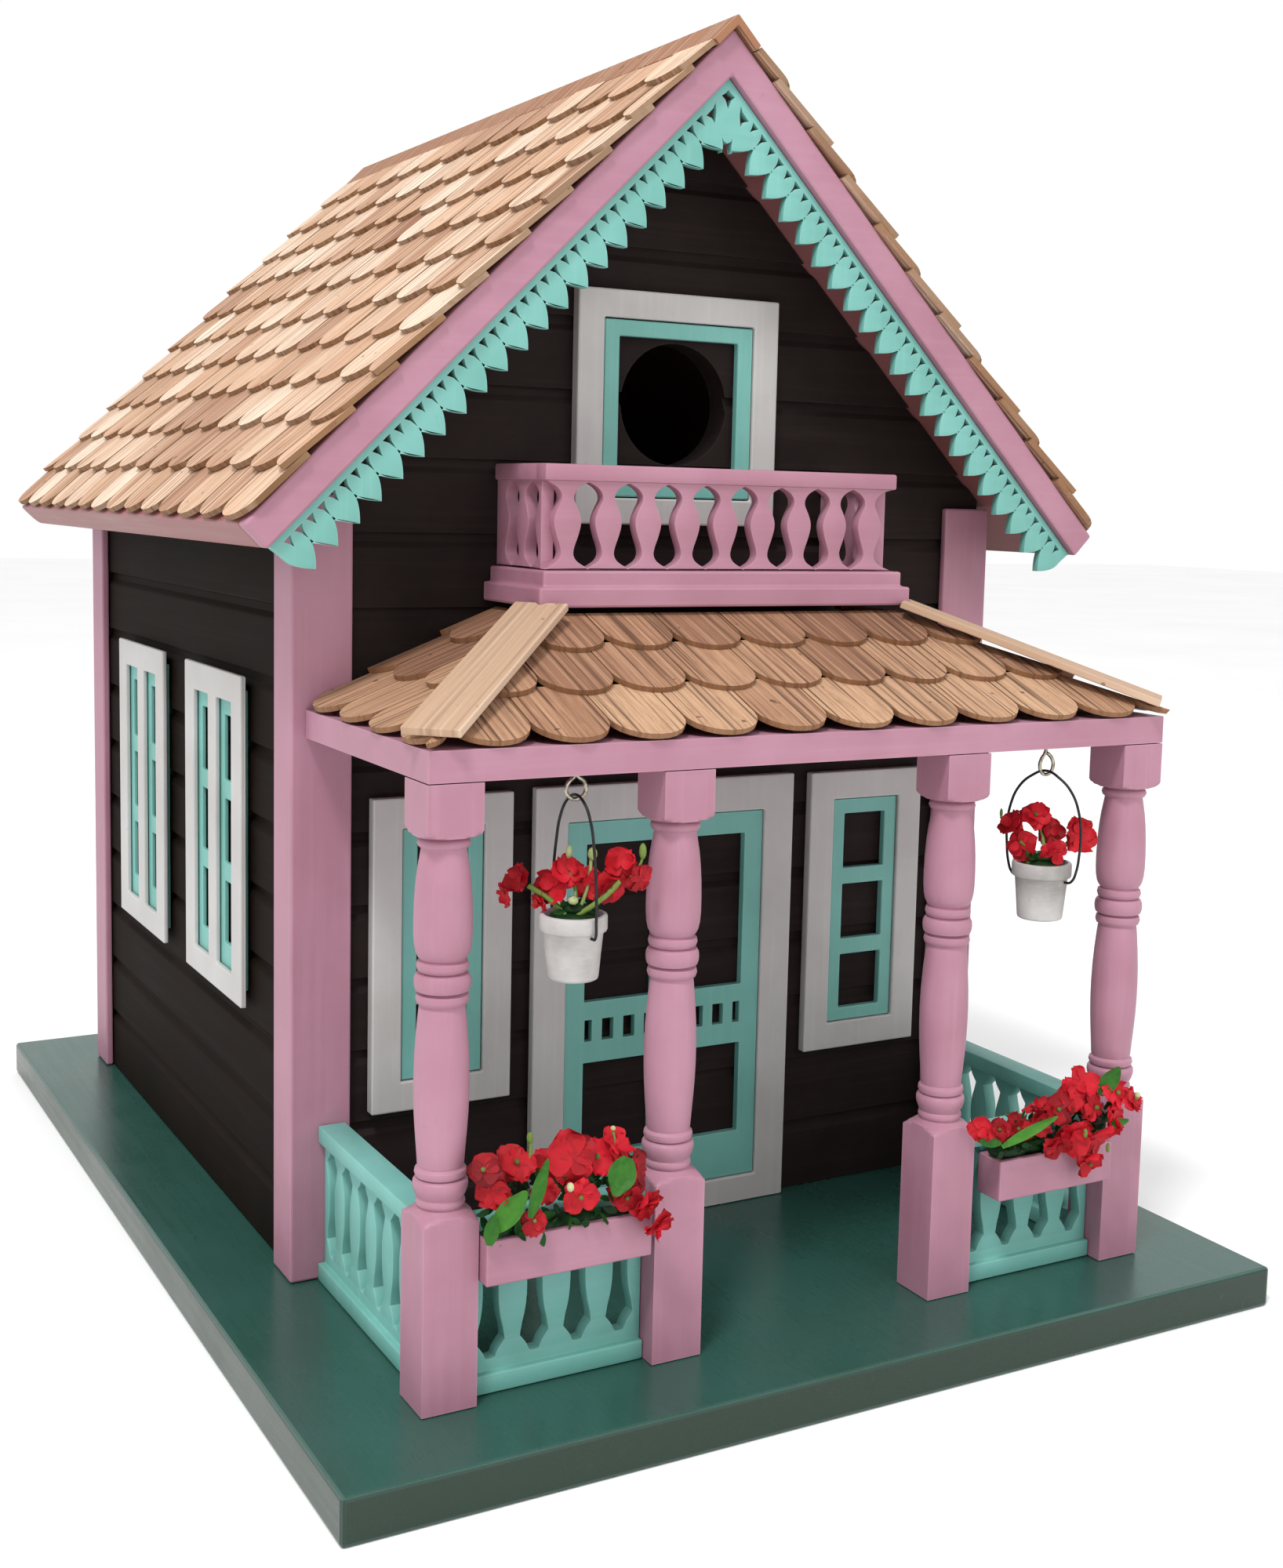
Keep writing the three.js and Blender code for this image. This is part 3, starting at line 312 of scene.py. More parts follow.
# The porch shingles' cedar tones are darker than the main roof's: painted shade, as the porch roof lies in
# shade.
PORCH_SHADED_TONES = dict(pale=linear(206, 168, 134), tan=linear(164, 122, 94), brown=linear(124, 86, 66),
                   golden=linear(132, 92, 60))
CEDAR_FRONT = cedar("cedar shingles, porch front", grain=(560, 30, 30), **PORCH_SHADED_TONES)
CEDAR_SIDES = cedar("cedar shingles, porch sides", grain=(30, 560, 30), **PORCH_SHADED_TONES)
HIP_TONES = dict(pale=linear(236, 216, 196), tan=linear(220, 196, 172), brown=linear(184, 152, 126),
                 golden=linear(190, 146, 104), grooves=0.35)
CEDAR_LEFT_HIP = cedar("left hip board", turn=-45, grain=(14, 420, 14), **HIP_TONES)
CEDAR_RIGHT_HIP = cedar("right hip board", turn=45, grain=(14, 420, 14), **HIP_TONES)
RED = tinted("petals", linear(84, 2, 10), linear(168, 8, 24), linear(205, 24, 44), 600, (0.55, 0.75),
             Specular_IOR_Level=0.3)
LEAF = tinted("leaves", linear(8, 28, 12), linear(30, 84, 24), linear(80, 140, 44), 500, (0.4, 0.55),
              Specular_IOR_Level=0.2)
STEM = tinted("stems and buds", linear(64, 84, 34), linear(108, 128, 58), linear(196, 200, 156), 900,
              (0.55, 0.7), Specular_IOR_Level=0.25)
BLACK_WIRE = metal("black wire", linear(14, 14, 15), linear(40, 40, 42), (0.3, 0.5), 0.4)
NICKEL = metal("nickel wire", linear(120, 112, 92), linear(206, 200, 182), (0.18, 0.36), 1.0)


# ---- geometry helpers
def put(name, bm, material, body="house", sharp=35):
    """Turns a bmesh into a piece in the scene, smooth apart from edges sharper than the angle."""
    bmesh.ops.recalc_face_normals(bm, faces=bm.faces)
    limit = math.radians(sharp)
    for face in bm.faces:
        face.smooth = True
    for edge in bm.edges:
        if len(edge.link_faces) != 2 or edge.calc_face_angle(0) > limit:
            edge.smooth = False
    mesh = bpy.data.meshes.new(name)
    bm.to_mesh(mesh)
    bm.free()
    piece = bpy.data.objects.new(name, mesh)
    bpy.context.scene.collection.objects.link(piece)
    for one in material if isinstance(material, (list, tuple)) else [material]:
        mesh.materials.append(one)
    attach(piece, body)
    return piece


def add_bevel(piece, width):
    bevel = piece.modifiers.new("rounded edges", "BEVEL")
    bevel.width = width
    bevel.segments = 2
    bevel.limit_method = "ANGLE"
    bevel.angle_limit = math.radians(35)
    bevel.harden_normals = False
    normals = piece.modifiers.new("even shading", "WEIGHTED_NORMAL")
    normals.keep_sharp = True


def tidy_node(name, material, width=0.0005):
    """Gives a CAD node softened edges and its paint."""
    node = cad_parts[name]
    weld = node.modifiers.new("weld", "WELD")
    weld.merge_threshold = 1e-6
    planar = node.modifiers.new("planar", "DECIMATE")
    planar.decimate_type = "DISSOLVE"
    planar.angle_limit = math.radians(1)
    add_bevel(node, width)
    for slot in node.material_slots:
        slot.material = material
    if not node.material_slots:
        node.data.materials.append(material)


def smooth_loop(points, steps=4, closed=True):
    """Catmull-Rom points through the given ones. A point marked with a third value stays a corner."""
    result = []
    count = len(points)
    for i in range(count if closed else count - 1):
        p1 = points[i]
        p2 = points[(i + 1) % count]
        p0 = points[(i - 1) % count] if closed or i > 0 else p1
        p3 = points[(i + 2) % count] if closed or i + 2 < count else p2
        if len(p1) > 2:
            p0 = p1
        if len(p2) > 2:
            p3 = p2
        for j in range(steps):
            t = j / steps
            result.append(tuple(
                0.5 * (2 * b + (c - a) * t + (2 * a - 5 * b + 4 * c - d) * t * t
                       + (3 * b - a - 3 * c + d) * t ** 3)
                for a, b, c, d in zip(p0[:2], p1[:2], p2[:2], p3[:2])))
    if not closed:
        result.append(tuple(points[-1][:2]))
    return result


def flat_board(name, loops, depth, basis, origin, bevel=0.3):
    """A board cut from a flat outline with openings, its edges slightly rounded. Lengths in millimetres."""
    curve = bpy.data.curves.new(name + " outline", "CURVE")
    curve.dimensions = "2D"
    curve.fill_mode = "BOTH"
    curve.extrude = (depth / 2 - bevel) * MM
    curve.bevel_depth = bevel * MM
    curve.bevel_resolution = 1
    curve.offset = -bevel * MM
    for loop in loops:
        spline = curve.splines.new("POLY")
        spline.points.add(len(loop) - 1)
        for point, (a, b) in zip(spline.points, loop):
            point.co = (a * MM, b * MM, 0, 1)
        spline.use_cyclic_u = True
    carrier = bpy.data.objects.new(name + " outline", curve)
    bpy.context.scene.collection.objects.link(carrier)
    bpy.context.view_layer.update()
    graph = bpy.context.evaluated_depsgraph_get()
    mesh = bpy.data.meshes.new_from_object(carrier.evaluated_get(graph))
    bpy.data.objects.remove(carrier)
    first, second = Vector(basis[0]), Vector(basis[1])
    third = first.cross(second)
    turn = Matrix((first, second, third)).transposed().to_4x4()
    turn.translation = Vector(origin) * MM
    bm = bmesh.new()
    bm.from_mesh(mesh)
    bmesh.ops.transform(bm, matrix=turn, verts=bm.verts)
    bmesh.ops.remove_doubles(bm, verts=bm.verts, dist=1e-6)
    bpy.data.meshes.remove(mesh)
    return bm


def front_board(name, loops, y_front, depth, bevel=0.3):
    """A board facing the front, drawn in (x, z)."""
    return flat_board(name, loops, depth, ((1, 0, 0), (0, 0, 1)), (0, y_front + depth / 2, 0), bevel)


def side_board(name, loops, x_middle, depth, bevel=0.3):
    """A board facing sideways, drawn in (y, z)."""
    return flat_board(name, loops, depth, ((0, 1, 0), (0, 0, 1)), (x_middle, 0, 0), bevel)


def rectangle(a0, a1, b0, b1):
    return [(a0, b0), (a1, b0), (a1, b1), (a0, b1)]


def mirrored_hole(centre, profile, steps=4):
    right = smooth_loop(profile, steps, closed=False)
    left = [(-w, z) for w, z in right if w > 1e-6]
    return [(centre + w, z) for w, z in right] + [(centre + w, z) for w, z in reversed(left)]


def join_into(target, source):
    mesh = bpy.data.meshes.new("part")
    source.to_mesh(mesh)
    source.free()
    target.from_mesh(mesh)
    bpy.data.meshes.remove(mesh)


def box_into(bm, low, high, bevel=0.4):
    """Adds a rounded block between two corners, in millimetres."""
    made = bmesh.ops.create_cube(bm, size=1.0)["verts"]
    for v in made:
        v.co = Vector([(l + (c + 0.5) * (h - l)) * MM for l, h, c in zip(low, high, v.co)])
    edges = {e for v in made for e in v.link_edges}
    bmesh.ops.bevel(bm, geom=list(edges), offset=bevel * MM, segments=2, affect="EDGES", profile=0.5)


def lathe_into(bm, profile, facets, centre, half=None):
    """Adds a turned solid; with half given, the turning is cut to a square bar of that half-width."""
    rows = []
    for radius, height in profile:
        row = []
        for i in range(facets):
            a = 2 * math.pi * i / facets
            reach = radius if half is None else min(radius, half / max(abs(math.cos(a)), abs(math.sin(a))))
            spot = Vector((centre[0] + reach * math.cos(a), centre[1] + reach * math.sin(a), height)) * MM
            row.append(bm.verts.new(spot))
        rows.append(row)
    for low, high in zip(rows, rows[1:]):
        for i in range(facets):
            j = (i + 1) % facets
            bm.faces.new((low[i], low[j], high[j], high[i]))
    bm.faces.new(list(reversed(rows[0])))
    bm.faces.new(rows[-1])


# ---- shingles
def shingle_outline(width, length, rounding):
    """Half-rounded lower end, square upper end: points as (across, up from the butt)."""
    half = width / 2
    points = []
    for i in range(13):
        a = math.pi * i / 12
        points.append((-half * math.cos(a), rounding * (1 - math.sin(a))))
    return points + [(half, length), (-half, length)]


def shingle_into(bm, frame_of, outline, middle, tint, thickness, lift, fall):
    """Adds one shingle. frame_of(across, up, out) gives its place on the roof."""
    tints = bm.faces.layers.float["tint"]
    rims = bm.faces.layers.float["rim"]
    top = []
    bottom = []
    for a, u in outline:
        out = lift - fall * u
        top.append(bm.verts.new(frame_of(middle + a, u, out + thickness)))
        bottom.append(bm.verts.new(frame_of(middle + a, u, out)))
    count = len(outline)
    faces = [(bm.faces.new(top), 0.0), (bm.faces.new(list(reversed(bottom))), 0.0)]
    for i in range(count):
        j = (i + 1) % count
        faces.append((bm.faces.new((bottom[i], bottom[j], top[j], top[i])), 1.0))
    for face, rim in faces:
        face[tints] = tint
        face[rims] = rim


def new_tinted():
    bm = bmesh.new()
    bm.faces.layers.float.new("tint")
    bm.faces.layers.float.new("rim")
    return bm


def main_roof(side):
    """Eleven courses of shingles on one slope, alternate courses starting with a half."""
    rng = random.Random(11 if side < 0 else 29)
    bm = new_tinted()
    pitch = (SHINGLE_BACK - SHINGLE_FRONT) / SHINGLES_PER_ROW
    fall = 2.4 / SHINGLE_LENGTH
    for row in range(SHINGLE_ROWS):
        start = -0.4 + row * SHINGLE_EXPOSURE
        length = min(SHINGLE_LENGTH, EAVE_X / SLOPE - RIDGE_MARGIN - start)
        shift = 0.5 * (row % 2)
        for i in range(SHINGLES_PER_ROW + (row % 2)):
            low = max(SHINGLE_FRONT, SHINGLE_FRONT + (i - shift) * pitch)
            high = min(SHINGLE_BACK, SHINGLE_FRONT + (i + 1 - shift) * pitch)
            gap = rng.uniform(0.35, 0.85)
            outline = shingle_outline(high - low - gap, length, SHINGLE_ROUNDING)
            if high - low < pitch * 0.7:
                outline = half_outline(high - low - gap, length, SHINGLE_ROUNDING, low <= SHINGLE_FRONT)
            slide = start + (rng.uniform(-0.1, 0.7) if row == 0 else rng.uniform(-0.6, 0.6))
            twist = rng.uniform(-0.006, 0.006)

            def spot(across, up, out, slide=slide, twist=twist, middle=(low + high) / 2):
                s = slide + up + (across - middle) * twist
                x = EAVE_X - (s - out) * SLOPE
                return Vector((side * x, across, ROOF_APEX - EAVE_X + (s + out) * SLOPE)) * MM
            thickness = SHINGLE_THICKNESS + rng.uniform(-0.12, 0.12)
            seat, drop = (EAVE_LIFT, 0.9 / SHINGLE_LENGTH) if row == 0 else (SHINGLE_LIFT, fall)
            tone = rng.uniform(0.16, 0.86) if rng.random() < 0.88 else rng.random()
            shingle_into(bm, spot, outline, (low + high) / 2, tone, thickness,
                         seat + rng.uniform(-0.1, 0.12), drop)
    name = "left" if side < 0 else "right"
    piece = put(f"{name}_shingle_courses", bm, CEDAR_ROOF, sharp=50)
    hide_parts(f"{name}_shingles")


def half_outline(width, length, rounding, at_front):
    """Half a shingle, its straight cut side on the roof's edge."""
    whole = shingle_outline(width * 2, length, rounding)
    kept = [(a, u) for a, u in whole if (a >= -1e-6) == at_front or abs(a) < 1e-6]
    if at_front:
        points = [(a - width / 2, u) for a, u in kept]
        return points + [(-width / 2, length)]
    points = [(a + width / 2, u) for a, u in kept if u < length]
    return points + [(width / 2, length), (-width / 2, length)]


def porch_shingles():
    """Three courses round the porch's hip roof, mitred where the hips meet."""
    rng = random.Random(47)
    bm = new_tinted()
    slope_length = math.hypot(HIP_RUN, HIP_FALL)
    cos, sin = HIP_RUN / slope_length, HIP_FALL / slope_length
    exposure = slope_length / HIP_ROWS
    for face in ("front", "left", "right"):
        part = new_tinted()
        half = HIP_TOP_HALF + HIP_RUN
        if face == "front":
            span = (-half, half)
        else:
            span = (HIP_TOP_FRONT - HIP_RUN, HIP_WALL)
        for row in range(HIP_ROWS):
            pitch = PORCH_PITCH if face == "front" else (span[1] - span[0]) / 4
            start = -6 * pitch if face == "front" else span[0] - pitch
            for i in range(13):
                middle = start + (i + 0.5 + PORCH_PHASES[row]) * pitch
                slide = row * exposure + rng.uniform(0, 0.7)

                def spot(across, up, out, slide=slide, face=face):
                    u = slide + up
                    run = HIP_RUN - u * cos + out * sin
                    z = HIP_TOP_Z - HIP_FALL + u * sin + out * cos - PORCH_SINK
                    if face == "front":
                        return Vector((across, HIP_TOP_FRONT - run, z)) * MM
                    side = -1 if face == "left" else 1
                    return Vector((side * (HIP_TOP_HALF + run), across, z)) * MM
                length = min(exposure + PORCH_OVERLAP, slope_length - slide)
                outline = shingle_outline(pitch - rng.uniform(0.3, 0.7), length, PORCH_ROUNDING)
                # Each course's tint range holds painted light on the eave course and painted shade on the
                # courses above.
                tone = rng.uniform(*PORCH_ROW_LIT_AND_SHADED_TONES[row])
                shingle_into(part, spot, outline, middle, tone, 1.6, 2.3, 2.1 / (exposure + PORCH_OVERLAP))
        trim_to_hips(part, face)
        for shingle_face in part.faces:
            shingle_face.material_index = 0 if face == "front" else 1
        join_into(bm, part)
    piece = put("porch_shingle_courses", bm, [CEDAR_FRONT, CEDAR_SIDES], sharp=50)
    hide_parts("porch_hip_roof")


def slice_off(bm, point, normal):
    geometry = bm.verts[:] + bm.edges[:] + bm.faces[:]
    cut = bmesh.ops.bisect_plane(bm, geom=geometry, plane_co=Vector(point) * MM, plane_no=Vector(normal),
                                 clear_outer=True)
    edges = [g for g in cut["geom_cut"] if isinstance(g, bmesh.types.BMEdge) and g.is_boundary]
    bmesh.ops.holes_fill(bm, edges=edges, sides=0)


def trim_to_hips(bm, face):
    """Cuts the courses of one face along the hips and the wall."""
    corner = (HIP_TOP_HALF, HIP_TOP_FRONT, 0)
    mirror = (-HIP_TOP_HALF, HIP_TOP_FRONT, 0)
    if face == "front":
        slice_off(bm, corner, (1, 1, 0))
        slice_off(bm, mirror, (-1, 1, 0))
    elif face == "right":
        slice_off(bm, corner, (-1, -1, 0))
        slice_off(bm, (0, HIP_WALL, 0), (0, 1, 0))
    else:
        slice_off(bm, mirror, (1, -1, 0))
        slice_off(bm, (0, HIP_WALL, 0), (0, 1, 0))


# ---- gable trim
def on_trim(s, t):
    return ((s - t) * SLOPE, TRIM_APEX - (s + t) * SLOPE)


def leaf_side(centre, sign):
    """One curved side of a leaf, from its notch to its tip."""
    half = LEAF_PITCH / 2
    points = []
    for i in range(7):
        f = i / 6
        bulge = 1 - f ** 1.6
        points.append(on_trim(centre + sign * half * bulge, LEAF_NOTCH + (LEAF_LENGTH - LEAF_NOTCH) * f))
    return points


def gable_trim():
    below = [(0.0, 18.9), (1.2, 18.3), (1.75, 17.3), (1.55, 19.5), (1.7, 21.6)]
    right = [(x, TRIM_APEX - d) for x, d in below]
    for i in range(LEAF_COUNT):
        centre = LEAF_FIRST + i * LEAF_PITCH
        if i > 0:
            right += leaf_side(centre, -1)[:-1]
        right.append(on_trim(centre, LEAF_LENGTH))
        if i < LEAF_COUNT - 1:
            right += list(reversed(leaf_side(centre, 1)))[1:-1]
    last = LEAF_FIRST + (LEAF_COUNT - 1) * LEAF_PITCH
    right += list(reversed(leaf_side(last, 1)))[1:]
    right += [on_trim(last + 4.6, LEAF_NOTCH - 2.5), on_trim(last + 4.9, 2), on_trim(last + 5.2, 0)]
    outer = right + [(0.0, TRIM_APEX)] + [(-x, z) for x, z in reversed(right[1:])]
    loops = [outer]
    for i in range(LEAF_COUNT):
        for shift, tail, wide in ((0, 4.9, 1.35), (0.5, 6.1, 1.5)):
            s = LEAF_FIRST + (i + shift) * LEAF_PITCH
            if i == LEAF_COUNT - 1 and shift > 0:
                continue
            dart = [on_trim(s - wide, 1.9), on_trim(s + wide, 1.9), on_trim(s + 0.42, 3.6),
                    on_trim(s, tail), on_trim(s - 0.42, 3.6)]
            loops += [dart, [(-x, z) for x, z in reversed(dart)]]
    star = [(0, -3.2), (1, -4.4), (2.3, -5.2), (1, -6.3), (0, -9), (-1, -6.3), (-2.3, -5.2), (-1, -4.4)]
    slit = [(4.4, -7.4), (5.1, -9.2), (7.4, -11.6), (5.5, -12.1), (4.4, -13.6), (4.1, -10)]
    loops.append([(x, TRIM_APEX + z) for x, z in star])
    loops.append([(x, TRIM_APEX + z) for x, z in slit])
    loops.append([(-x, TRIM_APEX + z) for x, z in reversed(slit)])
    bm = front_board("gable_leaf_trim", loops, TRIM_FACE, TRIM_THICKNESS, 0.12)
    piece = put("gable_leaf_trim", bm, MINT_Z)
    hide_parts("gable_trim")


# ---- railings
# An opening is given by its right half, as (half-width, height). A third value marks a corner.
RAIL_GAP = [(0, 21.5), (1.3, 21.7, 1), (2.2, 23.7), (4.1, 26.2, 1), (3.6, 29.4), (2.9, 32.2), (2.4, 35.5),
            (2.2, 39), (2.25, 42), (2.8, 45), (3.8, 48), (4.4, 50.2, 1), (2.3, 52.4), (1.2, 54.5, 1),
            (0, 54.7)]
RAIL_BOARD = (14, 59)
RAIL_BARS = ((13, 18.3), (55.5, 60.6))
RAIL_THICKNESS = 4.3
RAIL_BAR_HALF = 4.2
BALCONY_GAP = [(0, 227.4), (1.6, 228.2), (3.6, 229.5), (4.6, 231.3), (4.3, 233.5), (3.2, 236.5),
               (2.35, 239.6), (2.4, 242), (3.4, 244.6), (4.6, 247), (4.4, 248.9), (3, 250.6), (1, 251.7),
               (0, 252.1)]
BALCONY_PITCH = 13.25
BALCONY_SHIFT = -0.9
BALCONY_HALF = 60.6
BALCONY_BOARD = (227, 253)
BALCONY_CAP = (252.4, 257.3)
BALCONY_FACE = -115.2
BALCONY_BACK = -80.3


def porch_railing(name, along_x, low, high, across, count):
    """Fretwork between a bottom and a top rail, running from low to high."""
    pitch = (high - low) / count
    holes = [mirrored_hole(low + (i + 0.5) * pitch, RAIL_GAP, 3) for i in range(count)]
    loops = [rectangle(low, high, *RAIL_BOARD)] + holes
    if along_x:
        bm = front_board(name, loops, across - RAIL_THICKNESS / 2, RAIL_THICKNESS, 0.35)
    else:
        bm = side_board(name, loops, across, RAIL_THICKNESS, 0.35)
    for z0, z1 in RAIL_BARS:
        if along_x:
            box_into(bm, (low, across - RAIL_BAR_HALF, z0), (high, across + RAIL_BAR_HALF, z1), 0.5)
        else:
            box_into(bm, (across - RAIL_BAR_HALF, low, z0), (across + RAIL_BAR_HALF, high, z1), 0.5)
    piece = put(name + "_fretwork", bm, MINT_X if along_x else MINT_Z)
    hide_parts(name)


def balcony_railing():
    """Sawn boards on three sides under a cap rail. The front board ends in half openings."""
    foot, top = BALCONY_BOARD
    cap_foot, cap_top = BALCONY_CAP
    holes = [mirrored_hole((i - 3.5) * BALCONY_PITCH + BALCONY_SHIFT, BALCONY_GAP, 3) for i in range(8)]
    half_gap = smooth_loop(BALCONY_GAP[1:-1], 3, False)
    left_end = [(-4.5 * BALCONY_PITCH + BALCONY_SHIFT + w, z) for w, z in reversed(half_gap)]
    right_end = [(4.5 * BALCONY_PITCH + BALCONY_SHIFT - w, z) for w, z in half_gap]
    outline = [(-BALCONY_HALF, foot), (BALCONY_HALF, foot)] + right_end
    outline += [(BALCONY_HALF, cap_foot), (BALCONY_HALF, top)]
    outline += [(-BALCONY_HALF, top), (-BALCONY_HALF, cap_foot)]
    bm = front_board("balcony_fretwork", [outline + left_end] + holes, BALCONY_FACE, 4, 0.3)
    for x in (-58.6, 58.6):
        gaps = [mirrored_hole(y, BALCONY_GAP, 3) for y in (-104.8, -91.3)]
        flank = side_board("balcony_side", [rectangle(-111.4, BALCONY_BACK, foot, top)] + gaps, x, 4, 0.3)
        join_into(bm, flank)
    box_into(bm, (-61.6, -116.1, cap_foot), (61.6, -109.1, cap_top), 0.7)
    for side in (-1, 1):
        x0, x1 = sorted((side * 54.6, side * 61.6))
        box_into(bm, (x0, -110, cap_foot), (x1, BALCONY_BACK, cap_top), 0.7)
    piece = put("balcony_fretwork", bm, PINK_X)
    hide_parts("balcony_railing")


# ---- columns
# Profiles are (radius, height); the square parts are turnings wider than the bar, cut back to it.
COLUMN_HALF = 7.635
COLUMN_Y = -169.3
INNER_COLUMN_X = 46.74
OUTER_COLUMN_X = 113.8
RAILING_GAP = 0.3
PLINTH = [(10.9, 13), (10.9, 63), (10.5, 63.3), (9.4, 63.95), (8, 64.7), (7, 65.25), (6.3, 65.75),
          (5.8, 66.1)]
LOWER_RINGS = [(6.2, 66.5), (6.48, 67.2), (6.3, 68), (5.95, 68.5), (6.25, 69), (6.7, 69.9), (7.05, 71),
               (7.2, 72), (7.1, 72.9), (6.7, 73.5), (5.7, 73.8), (6.45, 74.2), (6.78, 75.1), (6.6, 76),
               (5.8, 76.6)]
LOWER_VASE = [(6.05, 77.4), (6.3, 81), (6.65, 85.5), (6.95, 90), (7.12, 95), (7.15, 100), (7, 105.5),
              (6.65, 111), (6.25, 115.5), (5.95, 118.4), (5.75, 118.9)]
MIDDLE_RINGS = [(6.5, 119.4), (6.85, 120.5), (6.6, 121.7), (5.65, 122.3), (6.9, 122.8), (7.2, 123.7),
                (7.3, 124.9), (7.2, 126.1), (6.7, 127), (5.65, 127.4), (6.4, 127.9), (6.75, 129),
                (6.5, 130.1), (5.65, 130.6)]
UPPER_VASE = [(6.3, 131.3), (6.9, 132.5), (7.3, 134.4), (7.5, 137), (7.52, 141), (7.4, 145.5), (7.1, 150),
              (6.65, 154), (6.1, 157.2), (5.75, 159.3)]
UPPER_RING = [(6.45, 159.8), (6.85, 160.7), (6.6, 161.6), (5.8, 162.2)]
CAPITAL = [(6.4, 162.35), (8, 162.6), (9.3, 163), (10.3, 163.6), (10.8, 164.4), (10.9, 165.2),
           (10.9, 176.5)]
TURNING = PLINTH + LOWER_RINGS + LOWER_VASE + MIDDLE_RINGS + UPPER_VASE + UPPER_RING + CAPITAL


def column(name, x):
    bm = bmesh.new()
    lathe_into(bm, TURNING, 64, (x, COLUMN_Y), COLUMN_HALF)
    piece = put(name + "_turning", bm, PINK_Z, sharp=40)
    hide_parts(name)


# ---- flowers
# A bush has three materials, picked by these numbers.
PETAL, FOLIAGE, GREEN = 0, 1, 2


def petal_into(bm, centre, outward, spin, length, width, cup, tint, index, ruffle=0.0, phase=0.0):
    """A cupped, ruffled petal: a small curved grid with thickness."""
    outward = outward.normalized()
    side = outward.orthogonal().normalized()
    side.rotate(Matrix.Rotation(spin, 3, outward))
    across = outward.cross(side)
    tints = bm.faces.layers.float["tint"]
    last = 5
    grid = []
    for layer in (0, 1):
        rows = []
        for i in range(last + 1):
            f = i / last
            row = []
            for j in range(last + 1):
                g = 2 * j / last - 1
                breadth = width * math.sin(math.pi * (0.12 + 0.7 * f)) * 0.5
                wave = ruffle * width * f * math.sin(4.5 * g + phase + 5 * f)
                rise = cup * f * f * length - 0.14 * width * (1 - g * g) * f + wave
                reach = length * f * (1 - 0.16 * g * g + ruffle * 0.8 * math.sin(7 * g + 2 * phase))
                spot = centre + side * reach + across * (breadth * g) + outward * (rise - 0.16 * layer)
                row.append(bm.verts.new(spot * MM))
            rows.append(row)
        grid.append(rows)
    faces = []
    for rows, flip in ((grid[0], False), (grid[1], True)):
        for i in range(last):
            for j in range(last):
                corners = [rows[i][j], rows[i][j + 1], rows[i + 1][j + 1], rows[i + 1][j]]
                faces.append(bm.faces.new(corners[::-1] if flip else corners))
    ring = [(0, j) for j in range(last)] + [(i, last) for i in range(last)]
    ring += [(last, j) for j in range(last, 0, -1)] + [(i, 0) for i in range(last, 0, -1)]
    for k, (i, j) in enumerate(ring):
        m, n = ring[(k + 1) % len(ring)]
        faces.append(bm.faces.new((grid[0][i][j], grid[1][i][j], grid[1][m][n], grid[0][m][n])))
    for face in faces:
        face[tints] = tint
        face.material_index = index


def ball_into(bm, centre, radius, tint, index, stretch=1.0):
    """A small ball, or a bud when it is stretched upwards."""
    tints = bm.faces.layers.float["tint"]
    made = bmesh.ops.create_icosphere(bm, subdivisions=2, radius=radius * MM)["verts"]
    for v in made:
        v.co.z *= stretch
        v.co += centre * MM
    for face in {f for v in made for f in v.link_faces}:
        face[tints] = tint
        face.material_index = index


def stalk_into(bm, foot, tip, radius, tint):
    """A thin stem with a slight bend."""
    tints = bm.faces.layers.float["tint"]
    rings = []
    for i in range(6):
        f = i / 5
        centre = foot.lerp(tip, f) + Vector((0.9, -0.5, 0)) * math.sin(math.pi * f)
        along = (tip - foot).normalized()
        side = along.orthogonal().normalized()
        other = along.cross(side)
        rings.append([bm.verts.new((centre + (side * math.cos(a) + other * math.sin(a)) * radius) * MM)
                      for a in (2 * math.pi * k / 6 for k in range(6))])
    for low, high in zip(rings, rings[1:]):
        for k in range(6):
            face = bm.faces.new((low[k], low[(k + 1) % 6], high[(k + 1) % 6], high[k]))
            face[tints] = tint
            face.material_index = GREEN
    for ring in (rings[0][::-1], rings[-1]):
        face = bm.faces.new(ring)
        face[tints] = tint
        face.material_index = GREEN


def blossom_into(bm, rng, centre, outward, size):
    """One fabric flower: four or five broad, crumpled petals round a small green eye, no two alike."""
    outward = outward.normalized()
    spin = rng.uniform(0, 6.28)
    tone = rng.uniform(0.25, 0.8)
    count = rng.choice((4, 5, 5))
    for k in range(count):
        reach = size * rng.uniform(0.8, 1.12)
        turn = spin + 6.283 * k / count + rng.uniform(-0.25, 0.25)
        width = reach * rng.uniform(1.15, 1.5)
        cup = rng.uniform(-0.35, 0.55)
        tint = min(1, max(0, tone + rng.uniform(-0.25, 0.25)))
        petal_into(bm, centre, outward, turn, reach, width, cup, tint, PETAL, rng.uniform(0.05, 0.12),
                   rng.uniform(0, 6.28))
    for k in range(rng.choice((0, 1, 2))):
        reach = size * rng.uniform(0.45, 0.65)
        petal_into(bm, centre + outward * 0.5, outward, rng.uniform(0, 6.28), reach, reach * 1.3,
                   rng.uniform(0.6, 1.2), tone, PETAL, 0.08, rng.uniform(0, 6.28))
    if rng.random() < 0.45:
        ball_into(bm, centre + outward * 0.8, size * 0.13, rng.uniform(0.0, 0.4), GREEN)


def leaf_into(bm, rng, centre, outward, size):
    petal_into(bm, centre, outward, rng.uniform(0, 6.28), size, size * 0.55, rng.uniform(-0.2, 0.35),
               rng.uniform(0, 0.35), FOLIAGE)


